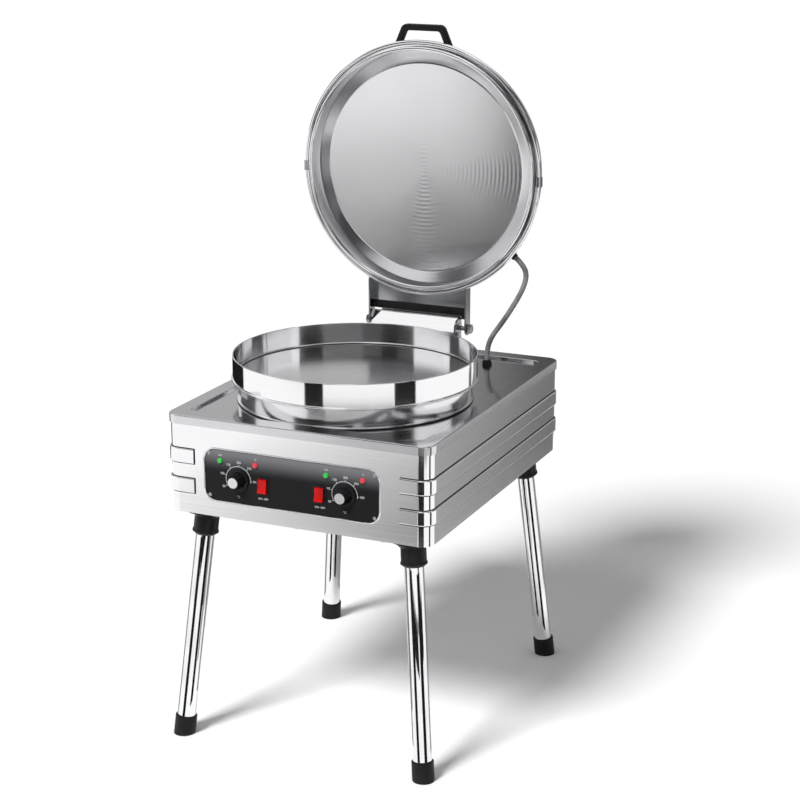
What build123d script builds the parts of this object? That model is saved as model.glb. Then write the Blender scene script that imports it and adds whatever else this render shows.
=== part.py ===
"""Floor-standing double-heated round griddle, drawn with its lid open.

Millimetres, +Z up, front towards -Y. The origin is on the floor, midway between the four feet.
"""
import math
import os

from build123d import *

os.makedirs("parts", exist_ok=True)

# Casing, four walls of folded sheet with two ribs pressed into each side wall
sheet = 1.5
casing_floor = 482.0
casing_height = 197.1
casing_corner = 24.0
rib_height = 29.5
rib_proud = 3.6
rib_round = 2.0
rib_to_panel = 22.0
rib_first = 42.0
rib_pitch = 60.2
floor_flange = 14.0
floor_screws_x = 3
floor_screws_y = 4

# Deck, a lid for the casing with a recessed tray
deck_overhang = 3.0
deck_lip = 18.0
deck_round = 2.0
tray_border_x = 30.0
tray_border_y = 36.0
tray_recess = 5.5
tray_corner = 14.0
deck_hole_radius = 200.0
pan_side_gap = 14.2
pan_front_gap = 1.2
base_back_gap = 23.5

# Control panel in the front window
panel_width = 376.0
panel_height = 107.0
panel_corner = 25.0
panel_x = -10.0
panel_above_floor = 86.3
panel_thickness = 2.0
panel_sunk = 1.5
panel_ledge = 8.0
panel_fit = 0.4
window_round = 2.0
panel_screw_inset = 11.0
knob_x = (-124.0, 104.5)
knob_above_floor = 81.5
rocker_x = (-70.0, 52.0)
rocker_above_floor = 75.0
green_x = (-163.0, 66.0)
red_x = (-86.0, 143.0)
lamp_above_floor = 116.0
lamp_radius = 5.4
lamp_height = 4.5
lamp_round = 2.5
lamp_rim = 1.0
lamp_depth = 16.0

# Knobs, their shafts and thermostats
knob_skirt_radius = 22.5
knob_skirt_height = 3.0
knob_body_radius = 17.0
knob_face_radius = 12.5
knob_height = 22.0
knob_skirt_round = 1.0
knob_face_round = 0.5
knob_recess_gap = 2.0
knob_gap = 1.0
knob_flutes = 12
knob_flute_radius = 2.2
cap_radius = 10.5
cap_thickness = 1.2
cap_overlap = 1.0
cap_round = 0.6
shaft_radius = 3.0
shaft_fit = 0.05
shaft_from_face = 6.0
shaft_behind_panel = 8.0
bushing_radius = 5.0
thermostat_size = (44.0, 22.0, 40.0)

# Rocker switches
rocker_width = 18.0
rocker_reach = 13.0
rocker_tilt = 8.0
rocker_face = 5.5
rocker_gap = 0.3
rocker_pin_radius = 1.5
rocker_back = 4.0
rocker_back_half = 6.0
rocker_shoulder = 3.0
bezel_rim = 3.0
bezel_thickness = 1.5
switch_wall = 1.8
switch_depth = 24.0

# Legs
socket_inset_x = 57.5
socket_inset_y = 54.5
splay_x = 43.5
splay_y = 46.0
leg_radius = 19.0
leg_wall = 1.5
foot_radius = 22.0
foot_height = 40.0
foot_floor = 6.0
foot_round = 2.0
socket_radius = 25.0
socket_drop = 59.0
socket_bead = 1.5
socket_bead_start = 5.0
socket_bead_height = 3.0
socket_depth = 49.0
flange_radius = 46.0
flange_thickness = 6.0
flange_step = 4.0
flange_cone = 22.0
socket_screw_circle = 33.0
leg_fit = 0.1

# Pan
pan_radius = 246.1
pan_wall = 2.5
pan_height = 93.7
pan_band_height = 52.8
pan_ledge = 2.0
pan_bead = 2.5
skirt_radius = 235.8
skirt_foot = 8.0
skirt_foot_thickness = 2.0
plate_depth = 44.8
plate_edge = 6.0
plate_step = 4.0
plate_fit = 0.4

# Heaters, the same coil section in both plates
heater_radius = 4.0
heater_circles = (92.0, 182.0)
heater_gap = 0.2
boss_half_width = 12.0
boss_height = 10.0
terminal_radius = 3.0
terminal_spread = 6.0
terminal_gap = 1.0
insulation_thickness = 20.0
insulation_gap = 2.0
shield_sheet = 1.0

# Lid, built round its own axis: radius and depth behind the rim
rim_over_pan = 3.4
rim_wall = 2.0
rim_roll = 4.1
rim_roll_seat = 0.7
lid_band_depth = 46.0
hoop_bead = 5.0
hoop_seat = 0.7
hoop_depth = 13.0
drum_gap = 9.5
drum_sheet = 1.5
drum_corner = 30.0
lid_depth = 68.0
lid_plate_bevel = 28.1
lid_plate_depth = 32.0
lid_plate_slope = 11.0
lid_plate_thickness = 12.0
lid_plate_round = 8.0
post_radius = 5.0
post_circle = 137.0
post_count = 4
stud_radius = 3.0
lid_seat_gap = 0.5
clip_width = 20.0
clip_below_centre = 8.0
clip_sheet = 1.5
clip_gap = 0.5
clip_mouth = 16.0

# Lid handle
handle_base = 126.0
handle_top = 92.0
handle_height = 40.0
handle_bar = 13.5
handle_depth = 16.0
handle_corner = 15.0
handle_round = 4.0
handle_screw_x = 54.0
screw_hole_depth = 10.0

# Hinge
hinge_behind_lid = 66.2
hinge_above_rim = 22.0
yoke_x = -6.0
yoke_half = 113.5
arm_thickness = 3.0
arm_front = 14.0
arm_back = 12.0
web_back = 12.0
web_bottom = 35.0
web_thickness = 3.0
saddle_thickness = 2.5
saddle_start = 19.0
saddle_end = 36.0
rivet_head_radius = 3.8
hinge_shaft_radius = 5.0
nut_across = 18.0
nut_height = 8.0
base_thickness = 3.0
base_front = 26.0
base_back = 34.0
base_screw_inset_x = 18.0
base_screw_inset_y = 8.0
ear_thickness = 4.0
ear_radius = 18.0
ear_bolt_radius = 3.6
ear_bolt_height = 4.5
ear_left = -100.0
ear_right = 86.0
stop_overlap = 12.0
stop_gap = 0.3
cover_left = -113.0
cover_right = 81.5
cover_sheet = 1.2
cover_top = 19.5
cover_rise = 6.0
cover_drop = 7.0
cover_front = 16.0
cover_foot = 55.0

# Power hose and its glands
hose_radius = 5.75
hose_lead = 20.0
gland_x = 149.0
gland_depth = 28.0
gland_across = 20.0
gland_neck = 8.5
gland_cap = 5.0
gland_round = 1.5
gland_thread = 14.0
gland_locknut = 5.0
deck_gland_height = 10.9
lid_gland_neck = 7.5
lid_gland_reach = 12.0
lid_gland_angle = -39.5
mains_gland_from_seam = 40.0
mains_gland_above_floor = 48.0
mains_gland_bore = 6.5
mains_gland_nut = 6.0
mains_gland_reach = 22.7
mains_gland_round = 2.0
mains_gland_across = 22.0
mains_gland_neck = 9.5

# Terminal block on the casing floor
block_length = 90.0
block_width = 32.0
block_height = 14.0
block_ridge = 14.0
block_ridge_height = 10.0
block_from_gland = 30.0
block_from_back = 130.0
block_holes = 5
block_hole_pitch = 15.0
block_hole_radius = 3.0
block_hole_depth = 6.0

# Small fits
seat_gap = 0.2
screw_radius = 2.4
screw_gap = 0.2
screw_head_radius = 4.5
screw_head_height = 2.6
panel_screw_head = 3.5
panel_screw_rise = 1.0
panel_screw_tail = 4.0
cut_margin = 1.0

# Levels and places that follow from the sizes above
rim_bore = pan_radius + rim_over_pan
drum_radius = rim_bore + rim_wall + drum_gap
hoop_radius = drum_radius + 2 * hoop_bead - hoop_seat
casing_width = 2 * (skirt_radius + pan_side_gap + tray_border_x)
pan_to_hinge = hoop_radius + hinge_behind_lid
casing_depth = 2 * tray_border_y + pan_front_gap + skirt_radius + pan_to_hinge + base_back + base_back_gap
casing_front = -casing_depth / 2
pan_y = casing_front + tray_border_y + pan_front_gap + skirt_radius
hinge_y = pan_y + pan_to_hinge
wall_seam = abs(panel_x) + panel_width / 2 + rib_to_panel
rib_wrap = casing_width / 2 - wall_seam
mains_gland_x = wall_seam - mains_gland_from_seam
socket_x = casing_width / 2 - socket_inset_x
socket_y = casing_depth / 2 - socket_inset_y
foot_x = socket_x + splay_x
foot_y = socket_y + splay_y
deck_underside = casing_floor + casing_height
deck_top = deck_underside + sheet
tray = deck_top - tray_recess
pan_rim = tray + pan_height
pan_plate_top = pan_rim - plate_depth
pan_ledge_top = pan_plate_top - plate_edge
pan_bore = pan_radius - pan_wall
lid_plate_edge = rim_bore - plate_fit
lid_plate_radius = lid_plate_edge - lid_plate_bevel
slope_at_pan = lid_plate_depth + lid_plate_slope * (pan_bore - lid_plate_radius) / lid_plate_bevel
lid_closed_rim = pan_rim - slope_at_pan + lid_seat_gap
hinge_z = lid_closed_rim + hinge_above_rim
lid_rim_y = hinge_y + lid_closed_rim - hinge_z
lid_z = hinge_z + hinge_y - pan_y

pan_plane = Plane(origin=(0, pan_y, 0), x_dir=(1, 0, 0), z_dir=(0, -1, 0))
pan_axis = Axis((0, pan_y, 0), (0, 0, 1))
lid_plane = Plane(origin=(0, lid_rim_y, lid_z), x_dir=(1, 0, 0), z_dir=(0, 0, 1))
lid_axis = Axis((0, lid_rim_y, lid_z), (0, 1, 0))
lid_face = Plane(origin=(0, lid_rim_y, lid_z), x_dir=(1, 0, 0), z_dir=(0, -1, 0))
front_plane = Plane(origin=(0, casing_front, casing_floor), x_dir=(1, 0, 0), z_dir=(0, -1, 0))
panel_face = front_plane.offset(-panel_sunk)
panel_back = panel_sunk + panel_thickness
hinge_plane = Plane(origin=(0, hinge_y, hinge_z), x_dir=(0, 1, 0), z_dir=(1, 0, 0))


def save(piece, name):
    """Name a finished piece and write it"""
    piece.part.label = name
    export_step(piece.part, f"parts/{name}.step")


# Casing

def rib_band(bottom, height, outset, wrap):
    """A rib's two side runs, each wrapped round the front and back corners"""
    with BuildPart() as band:
        with BuildSketch(Plane.XY.offset(bottom)):
            RectangleRounded(casing_width + 2 * outset, casing_depth + 2 * outset, casing_corner + outset)
        extrude(amount=height)
        fillet(band.edges().filter_by(Plane.XY), radius=rib_round)
        with BuildSketch(Plane.XY.offset(bottom)):
            Rectangle(casing_width - 2 * wrap, casing_depth + 4 * rib_proud)
        extrude(amount=height, mode=Mode.SUBTRACT)
    return band.part


def floor_screw_places():
    """Screws along the casing floor's edge flange"""
    reach_x = casing_width / 2 - sheet - floor_flange / 2
    reach_y = casing_depth / 2 - sheet - floor_flange / 2
    step_x = reach_x / floor_screws_x
    step_y = reach_y / floor_screws_y
    places = []
    for side in (-1, 1):
        for x in (1 - floor_screws_x, 0, floor_screws_x - 1):
            places.append((x * step_x, side * reach_y))
        for y in (1 - floor_screws_y, 0, floor_screws_y - 1):
            places.append((side * reach_x, y * step_y))
    return places


def panel_outline(margin):
    """The control panel's outline on the casing front, grown by a margin"""
    with Locations((panel_x, panel_above_floor)):
        RectangleRounded(panel_width + 2 * margin, panel_height + 2 * margin, panel_corner + margin)


def panel_screw_places():
    """The control panel's four corner screws"""
    reach_x = panel_width / 2 - panel_screw_inset
    reach_y = panel_height / 2 - panel_screw_inset
    middle = panel_above_floor
    return [(panel_x + x * reach_x, middle + y * reach_y) for x in (-1, 1) for y in (-1, 1)]


rib_bottoms = [casing_floor + rib_first + k * rib_pitch for k in range(2)]
rib_hollow = rib_height - 2 * sheet
outer_ribs = [rib_band(z, rib_height, rib_proud, rib_wrap) for z in rib_bottoms]
inner_ribs = [rib_band(z + sheet, rib_hollow, rib_proud - sheet, rib_wrap - sheet) for z in rib_bottoms]
window_depth = panel_back + sheet

with BuildPart() as casing_walls:
    with BuildSketch(Plane.XY.offset(casing_floor)):
        RectangleRounded(casing_width, casing_depth, casing_corner)
    extrude(amount=casing_height)
    add(outer_ribs)
    with BuildSketch(Plane.XY.offset(casing_floor)):
        RectangleRounded(casing_width - 2 * sheet, casing_depth - 2 * sheet, casing_corner - sheet)
    extrude(amount=casing_height, mode=Mode.SUBTRACT)
    add(inner_ribs, mode=Mode.SUBTRACT)
    with BuildSketch(Plane.XY.offset(casing_floor + sheet)):
        RectangleRounded(casing_width - 2 * sheet, casing_depth - 2 * sheet, casing_corner - sheet)
        flange_in = sheet + floor_flange
        RectangleRounded(casing_width - 2 * flange_in, casing_depth - 2 * flange_in, casing_corner - sheet,
                         mode=Mode.SUBTRACT)
    extrude(amount=sheet)
    with BuildSketch(front_plane):
        panel_outline(panel_fit + sheet)
    extrude(amount=-window_depth)
    with BuildSketch(front_plane):
        panel_outline(panel_fit)
    extrude(amount=-panel_back, mode=Mode.SUBTRACT)
    with BuildSketch(front_plane.offset(-panel_back)):
        panel_outline(-panel_ledge)
    extrude(amount=-sheet, mode=Mode.SUBTRACT)
    front_face = casing_walls.faces().filter_by_position(Axis.Y, casing_front - 0.1, casing_front + 0.1)
    fillet(front_face.sort_by(SortBy.AREA)[-1].inner_wires().edges(), radius=window_round)
    with BuildSketch(front_plane.offset(-panel_back)):
        with Locations(panel_screw_places()):
            Circle(screw_radius + screw_gap)
    extrude(amount=-sheet, mode=Mode.SUBTRACT)
    with BuildSketch(Plane(origin=(0, casing_depth / 2, casing_floor), x_dir=(1, 0, 0), z_dir=(0, -1, 0))):
        with Locations((mains_gland_x, mains_gland_above_floor)):
            Circle(gland_neck + screw_gap)
    extrude(amount=sheet, mode=Mode.SUBTRACT)
    with BuildSketch(Plane.XY.offset(casing_floor + sheet)):
        with Locations(floor_screw_places()):
            Circle(screw_radius + screw_gap)
    extrude(amount=sheet, mode=Mode.SUBTRACT)

# The walls meet edge to edge at the ribs' ends
for name, side in (("side_wall_left", -1), ("side_wall_right", 1)):
    with BuildPart() as side_wall:
        add(casing_walls.part)
        split(bisect_by=Plane(origin=(side * wall_seam, 0, 0), z_dir=(side, 0, 0)))
    save(side_wall, name)

for name, side in (("front_wall", -1), ("back_wall", 1)):
    with BuildPart() as end_wall:
        add(casing_walls.part)
        for edge in (-1, 1):
            split(bisect_by=Plane(origin=(edge * wall_seam, 0, 0), z_dir=(-edge, 0, 0)))
        split(bisect_by=Plane(origin=(0, 0, 0), z_dir=(0, side, 0)))
    save(end_wall, name)

# Casing floor

corners = [("front_left", -1, -1), ("front_right", 1, -1), ("rear_left", -1, 1), ("rear_right", 1, 1)]


def socket_screw_places():
    """Four screws round the top of each leg socket"""
    places = []
    for name, side_x, side_y in corners:
        for turn in range(4):
            angle = math.radians(45 + 90 * turn)
            x = side_x * socket_x + socket_screw_circle * math.cos(angle)
            y = side_y * socket_y + socket_screw_circle * math.sin(angle)
            places.append((x, y))
    return places


with BuildPart() as bottom_plate:
    with BuildSketch(Plane.XY.offset(casing_floor)):
        RectangleRounded(casing_width - 2 * sheet - 2 * panel_fit, casing_depth - 2 * sheet - 2 * panel_fit,
                         casing_corner - sheet - panel_fit)
        with Locations(floor_screw_places() + socket_screw_places()):
            Circle(screw_radius + screw_gap, mode=Mode.SUBTRACT)
    extrude(amount=sheet)
save(bottom_plate, "bottom_plate")

with BuildPart() as floor_screws:
    with BuildSketch(Plane.XY.offset(casing_floor)):
        with Locations(floor_screw_places()):
            Circle(screw_head_radius)
    extrude(amount=-screw_head_height)
    with BuildSketch(Plane.XY.offset(casing_floor)):
        with Locations(floor_screw_places()):
            Circle(screw_radius)
    extrude(amount=2 * sheet + screw_head_height)
    with BuildSketch(Plane.XY.offset(casing_floor + sheet)):
        with Locations(socket_screw_places()):
            Circle(screw_head_radius)
    extrude(amount=screw_head_height)
    with BuildSketch(Plane.XY.offset(casing_floor + sheet)):
        with Locations(socket_screw_places()):
            Circle(screw_radius)
    extrude(amount=-sheet - 2 * flange_thickness)
save(floor_screws, "floor_screws")

# Deck

with BuildPart() as deck:
    deck_width = casing_width + 2 * deck_overhang
    deck_depth = casing_depth + 2 * deck_overhang
    tray_width = casing_width - 2 * tray_border_x
    tray_depth = casing_depth - 2 * tray_border_y
    with BuildSketch(Plane.XY.offset(deck_top)):
        RectangleRounded(deck_width, deck_depth, casing_corner + deck_overhang)
    extrude(amount=-deck_lip)
    fillet(deck.faces().sort_by(Axis.Z)[-1].edges(), radius=deck_round)
    with BuildSketch(Plane.XY.offset(deck_underside)):
        inner_corner = casing_corner + deck_overhang - sheet
        RectangleRounded(deck_width - 2 * sheet, deck_depth - 2 * sheet, inner_corner)
    extrude(amount=-deck_lip, mode=Mode.SUBTRACT)
    with BuildSketch(Plane.XY.offset(deck_underside)):
        RectangleRounded(tray_width + 2 * sheet, tray_depth + 2 * sheet, tray_corner + sheet)
    extrude(amount=-tray_recess)
    with BuildSketch(Plane.XY.offset(deck_top)):
        RectangleRounded(tray_width, tray_depth, tray_corner)
    extrude(amount=-tray_recess, mode=Mode.SUBTRACT)
    fillet(deck.faces().sort_by(Axis.Z)[-1].inner_wires().edges(), radius=sheet)
    with BuildSketch(Plane.XY.offset(tray)):
        with Locations((0, pan_y)):
            Circle(deck_hole_radius)
        with Locations((gland_x, lid_rim_y + gland_depth)):
            Circle(gland_neck + screw_gap)
    extrude(amount=-sheet, mode=Mode.SUBTRACT)
save(deck, "deck")

# Legs, each leaning outward along its own line

leg_top = {}
leg_planes = {}
for name, side_x, side_y in corners:
    foot_point = Vector(side_x * foot_x, side_y * foot_y, 0)
    leg_top[name] = Vector(side_x * socket_x, side_y * socket_y, casing_floor)
    leg_planes[name] = Plane(origin=foot_point, z_dir=leg_top[name] - foot_point)
leg_length = (leg_top["front_left"] - leg_planes["front_left"].origin).length
leg_lean = math.degrees(math.acos(casing_floor / leg_length))
socket_start = leg_length - socket_drop
leg_end = socket_start + socket_depth

for name, side_x, side_y in corners:
    line = leg_planes[name]

    with BuildPart() as leg:
        with BuildSketch(line.offset(foot_floor)):
            Circle(leg_radius)
            Circle(leg_radius - leg_wall, mode=Mode.SUBTRACT)
        extrude(amount=leg_end - foot_floor)
    save(leg, f"leg_{name}")

    with BuildPart() as foot:
        with BuildSketch(line.offset(-foot_floor)):
            Circle(foot_radius)
        extrude(amount=foot_height + foot_floor)
        fillet(foot.faces().sort_by(Axis.Z)[-1].edges(), radius=foot_round)
        with BuildSketch(line.offset(foot_floor)):
            Circle(leg_radius + leg_fit)
        extrude(amount=foot_height, mode=Mode.SUBTRACT)
        split(bisect_by=Plane.XY, keep=Keep.TOP)
    save(foot, f"foot_{name}")

    with BuildPart() as socket:
        cone_start = leg_length - flange_cone
        cone_end = cone_start + flange_radius - socket_radius - flange_step
        bead_start = socket_start + socket_bead_start
        bead_end = bead_start + socket_bead_height
        with BuildSketch(Plane(origin=line.origin, x_dir=line.x_dir, z_dir=-line.y_dir)):
            with BuildLine():
                Polyline(
                    (0, socket_start),
                    (leg_radius + sheet, socket_start),
                    (socket_radius + socket_bead, bead_start),
                    (socket_radius + socket_bead, bead_end),
                    (socket_radius, bead_end + socket_bead_height),
                    (socket_radius, cone_start),
                    (flange_radius - flange_step, cone_end),
                    (flange_radius - flange_step, leg_length + flange_thickness),
                    (0, leg_length + flange_thickness),
                    close=True,
                )
            make_face()
        revolve(axis=Axis(line.origin, line.z_dir))
        with BuildSketch(Plane.XY.offset(casing_floor - flange_thickness)):
            with Locations((side_x * socket_x, side_y * socket_y)):
                Circle(flange_radius)
        extrude(amount=flange_thickness)
        split(bisect_by=Plane.XY.offset(casing_floor), keep=Keep.BOTTOM)
        with BuildSketch(line.offset(socket_start)):
            Circle(leg_radius + leg_fit)
        extrude(amount=leg_end + leg_fit - socket_start, mode=Mode.SUBTRACT)
        with BuildSketch(Plane.XY.offset(casing_floor)):
            with Locations((side_x * socket_x, side_y * socket_y)):
                with PolarLocations(socket_screw_circle, 4, 45):
                    Circle(screw_radius + screw_gap)
        extrude(amount=-2 * flange_thickness - screw_gap, mode=Mode.SUBTRACT)
    save(socket, f"socket_{name}")

# Pan

with BuildPart() as pan_skirt:
    skirt_top = pan_rim - pan_band_height
    with BuildSketch(pan_plane):
        with BuildLine():
            Polyline(
                (skirt_radius - skirt_foot, tray),
                (skirt_radius, tray),
                (skirt_radius, skirt_top),
                (skirt_radius - sheet, skirt_top),
                (skirt_radius - sheet, tray + skirt_foot_thickness),
                (skirt_radius - skirt_foot, tray + skirt_foot_thickness),
                close=True,
            )
        make_face()
    revolve(axis=pan_axis)
save(pan_skirt, "pan_skirt")

with BuildPart() as pan_band:
    with BuildSketch(pan_plane) as band_section:
        with BuildLine():
            Polyline(
                (pan_bore, pan_rim),
                (pan_radius, pan_rim),
                (pan_radius, skirt_top),
                (skirt_radius - 2 * pan_ledge, skirt_top),
                (skirt_radius - 2 * pan_ledge, pan_ledge_top),
                (pan_bore, pan_ledge_top),
                close=True,
            )
        make_face()
        fillet(band_section.vertices().group_by(Axis.Y)[-1], radius=pan_wall * 0.45)
        fillet(band_section.vertices().sort_by(Axis.X)[-1:].group_by(Axis.Y)[0], radius=1)
        with Locations((pan_radius, pan_ledge_top + pan_bead)):
            Circle(pan_bead)
    revolve(axis=pan_axis)
save(pan_band, "pan_band")


def heater_bosses(depth):
    """Square sections of the cast rings that hold a heater, from a plate's back face"""
    for circle in heater_circles:
        with Locations((circle, depth)):
            Rectangle(2 * boss_half_width, boss_height)


with BuildPart() as lower_plate:
    plate_back = pan_ledge_top - plate_step
    lower_boss = plate_back - boss_height / 2
    lower_heater_z = plate_back - boss_height + heater_radius / 2
    with BuildSketch(pan_plane):
        with BuildLine():
            Polyline(
                (0, pan_plate_top),
                (pan_bore - plate_fit, pan_plate_top),
                (pan_bore - plate_fit, pan_ledge_top),
                (skirt_radius - 2 * pan_ledge - plate_fit, pan_ledge_top),
                (skirt_radius - 2 * pan_ledge - plate_fit, plate_back),
                (0, plate_back),
                close=True,
            )
        make_face()
        heater_bosses(lower_boss)
        with Locations([(circle, lower_heater_z) for circle in heater_circles]):
            Circle(heater_radius + heater_gap, mode=Mode.SUBTRACT)
    revolve(axis=pan_axis)
save(lower_plate, "lower_plate")


def terminal_places(circle):
    """The two cold ends of one heater ring"""
    places = []
    for side in (-1, 1):
        angle = math.radians(90 + side * terminal_spread * heater_circles[-1] / circle)
        places.append((circle * math.cos(angle), circle * math.sin(angle)))
    return places


def all_terminals():
    """The cold ends of every heater ring"""
    return [place for circle in heater_circles for place in terminal_places(circle)]


with BuildPart() as lower_heater:
    with BuildSketch(pan_plane):
        with Locations([(circle, lower_heater_z) for circle in heater_circles]):
            Circle(heater_radius)
    revolve(axis=pan_axis)
    with BuildSketch(Plane.XY.offset(lower_heater_z)):
        with Locations([(x, pan_y + y) for x, y in all_terminals()]):
            Circle(terminal_radius)
    extrude(amount=deck_underside - 2 * insulation_thickness - lower_heater_z)
save(lower_heater, "lower_heater")

with BuildPart() as heat_shield:
    shield_floor = tray + skirt_foot_thickness
    shield_radius = skirt_radius - sheet - plate_fit
    shield_top = shield_floor + insulation_thickness + 3 * shield_sheet
    with BuildSketch(pan_plane):
        with BuildLine():
            Polyline(
                (0, shield_floor),
                (shield_radius, shield_floor),
                (shield_radius, shield_top),
                (shield_radius - shield_sheet, shield_top),
                (shield_radius - shield_sheet, shield_floor + shield_sheet),
                (0, shield_floor + shield_sheet),
                close=True,
            )
        make_face()
    revolve(axis=pan_axis)
    with BuildSketch(Plane.XY.offset(shield_floor)):
        with Locations([(x, pan_y + y) for x, y in all_terminals()]):
            Circle(terminal_radius + terminal_gap)
    extrude(amount=shield_sheet, mode=Mode.SUBTRACT)
save(heat_shield, "heat_shield")

with BuildPart() as lower_insulation:
    with BuildSketch(Plane.XY.offset(shield_floor + shield_sheet)):
        with Locations((0, pan_y)):
            Circle(skirt_radius - sheet - insulation_gap)
        with Locations([(x, pan_y + y) for x, y in all_terminals()]):
            Circle(terminal_radius + terminal_gap, mode=Mode.SUBTRACT)
    extrude(amount=insulation_thickness)
save(lower_insulation, "lower_insulation")

# Lid

with BuildPart() as lid_band:
    with BuildSketch(lid_plane):
        with Locations((rim_bore + rim_wall / 2, (rim_roll + lid_band_depth) / 2)):
            Rectangle(rim_wall, lid_band_depth - rim_roll)
        with Locations((rim_bore + rim_roll - rim_roll_seat, rim_roll)):
            Circle(rim_roll)
        flange_width = drum_radius - drum_sheet - seat_gap - rim_bore
        with Locations((rim_bore + flange_width / 2, saddle_start)):
            Rectangle(flange_width, sheet)
    revolve(axis=lid_axis)
save(lid_band, "lid_band")


def post_places(radius):
    """The posts that carry the upper plate"""
    with PolarLocations(post_circle, post_count, 45):
        Circle(radius)


def yoke_rivet_angles():
    """Rivets through the saddle, spread along the lid's lowest arc"""
    return [-90 + step for step in (-22, -8, 8, 22)]


def radial_plane(angle, radius, depth):
    """A plane on the lid's wall, square to its radius"""
    direction = Vector(math.cos(math.radians(angle)), 0, math.sin(math.radians(angle)))
    centre = Vector(0, lid_rim_y + depth, lid_z)
    return Plane(origin=centre + direction * radius, x_dir=(0, 1, 0), z_dir=direction)


rivet_depth = saddle_start + 1.7 * rivet_head_radius
hoop_centre = hoop_radius - hoop_bead

with BuildPart() as lid_cover:
    with BuildSketch(lid_plane):
        flat = drum_radius - drum_corner
        shoulder = lid_depth - drum_corner
        drum_inside = drum_radius - drum_sheet
        face_inside = lid_depth - drum_sheet
        with BuildLine():
            Line((0, lid_depth), (flat, lid_depth))
            RadiusArc((flat, lid_depth), (drum_radius, shoulder), drum_corner)
            Line((drum_radius, shoulder), (drum_radius, hoop_depth))
            Line((drum_radius, hoop_depth), (drum_inside, hoop_depth))
            Line((drum_inside, hoop_depth), (drum_inside, shoulder))
            RadiusArc((drum_inside, shoulder), (flat, face_inside), drum_sheet - drum_corner)
            Line((flat, face_inside), (0, face_inside))
            Line((0, face_inside), (0, lid_depth))
        make_face()
        with Locations((hoop_centre, hoop_depth)):
            Circle(hoop_bead)
    revolve(axis=lid_axis)
    with BuildSketch(lid_face.offset(-lid_depth)):
        post_places(stud_radius + screw_gap)
    extrude(amount=drum_sheet, mode=Mode.SUBTRACT)
    for angle in yoke_rivet_angles():
        with BuildSketch(radial_plane(angle, drum_radius + cut_margin, rivet_depth)):
            Circle(screw_radius + screw_gap)
        extrude(amount=-2 * drum_sheet, mode=Mode.SUBTRACT)
    with BuildSketch(radial_plane(lid_gland_angle, drum_radius + cut_margin, gland_depth)):
        Circle(lid_gland_neck + screw_gap)
    extrude(amount=-2 * drum_sheet - cut_margin, mode=Mode.SUBTRACT)
    with BuildSketch(Plane(origin=(0, lid_rim_y + gland_depth, lid_z), x_dir=(1, 0, 0), z_dir=(0, 0, 1))):
        with Locations((-handle_screw_x, 0), (handle_screw_x, 0)):
            Circle(screw_radius + screw_gap)
    extrude(amount=drum_radius + cut_margin, mode=Mode.SUBTRACT)
save(lid_cover, "lid_cover")

with BuildPart() as lid_plate:
    plate_behind = lid_plate_depth + lid_plate_thickness
    lid_heater_depth = plate_behind + boss_height - heater_radius / 2
    with BuildSketch(lid_plane) as plate_section:
        with BuildLine():
            Polyline(
                (0, lid_plate_depth),
                (lid_plate_radius, lid_plate_depth),
                (lid_plate_edge, lid_plate_depth + lid_plate_slope),
                (lid_plate_edge, plate_behind + plate_edge),
                (lid_plate_edge - plate_edge, plate_behind + plate_edge),
                (lid_plate_edge - plate_edge, plate_behind),
                (0, plate_behind),
                close=True,
            )
        make_face()
        rounded = [v for v in plate_section.vertices() if abs(v.X - lid_plate_radius) < 0.1]
        fillet(rounded, radius=lid_plate_round)
        heater_bosses(plate_behind + boss_height / 2)
        with Locations([(circle, lid_heater_depth) for circle in heater_circles]):
            Circle(heater_radius + heater_gap, mode=Mode.SUBTRACT)
    revolve(axis=lid_axis)
save(lid_plate, "lid_plate")

with BuildPart() as lid_heater:
    with BuildSketch(lid_plane):
        with Locations([(circle, lid_heater_depth) for circle in heater_circles]):
            Circle(heater_radius)
    revolve(axis=lid_axis)
    with BuildSketch(lid_face.offset(-lid_heater_depth)):
        with Locations(all_terminals()):
            Circle(terminal_radius)
    extrude(amount=-heater_radius - terminal_gap)
save(lid_heater, "lid_heater")

with BuildPart() as lid_insulation:
    insulation_front = lid_heater_depth + heater_radius + insulation_gap
    with BuildSketch(lid_face.offset(-insulation_front)):
        Circle(drum_radius - drum_corner - insulation_gap)
        with PolarLocations(post_circle, post_count, 45):
            Circle(post_radius + terminal_gap, mode=Mode.SUBTRACT)
    extrude(amount=-(lid_depth - drum_sheet - insulation_front))
save(lid_insulation, "lid_insulation")

with BuildPart() as lid_posts:
    with BuildSketch(lid_face.offset(-plate_behind)):
        post_places(post_radius)
    extrude(amount=-(lid_depth - drum_sheet - plate_behind))
    with BuildSketch(lid_face.offset(-plate_behind)):
        post_places(stud_radius)
    extrude(amount=-(lid_depth + nut_height / 2 - plate_behind))
    with BuildSketch(lid_face.offset(-lid_depth)):
        with PolarLocations(post_circle, post_count, 45):
            RegularPolygon(radius=2 * stud_radius, side_count=6)
    extrude(amount=-nut_height / 2)
save(lid_posts, "lid_posts")

with BuildPart() as seam_clips:
    clip_inner = hoop_bead + clip_gap
    clip_outer = clip_inner + clip_sheet
    for side in (-1, 1):
        clip_centre = (0, lid_rim_y, lid_z - clip_below_centre)
        clip_plane = Plane(origin=clip_centre, x_dir=(side, 0, 0), z_dir=(0, 0, side))
        with BuildSketch(clip_plane) as clip_section:
            with Locations((hoop_centre, hoop_depth)):
                RectangleRounded(2 * clip_outer, 2 * clip_outer, clip_outer - clip_sheet)
                RectangleRounded(2 * clip_inner, 2 * clip_inner, clip_inner - clip_sheet, mode=Mode.SUBTRACT)
            with Locations((drum_radius + seat_gap, hoop_depth - clip_sheet)):
                Rectangle(clip_outer, clip_mouth, align=(Align.MAX, Align.MIN), mode=Mode.SUBTRACT)
        extrude(amount=clip_width / 2, both=True)
save(seam_clips, "seam_clips")


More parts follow.
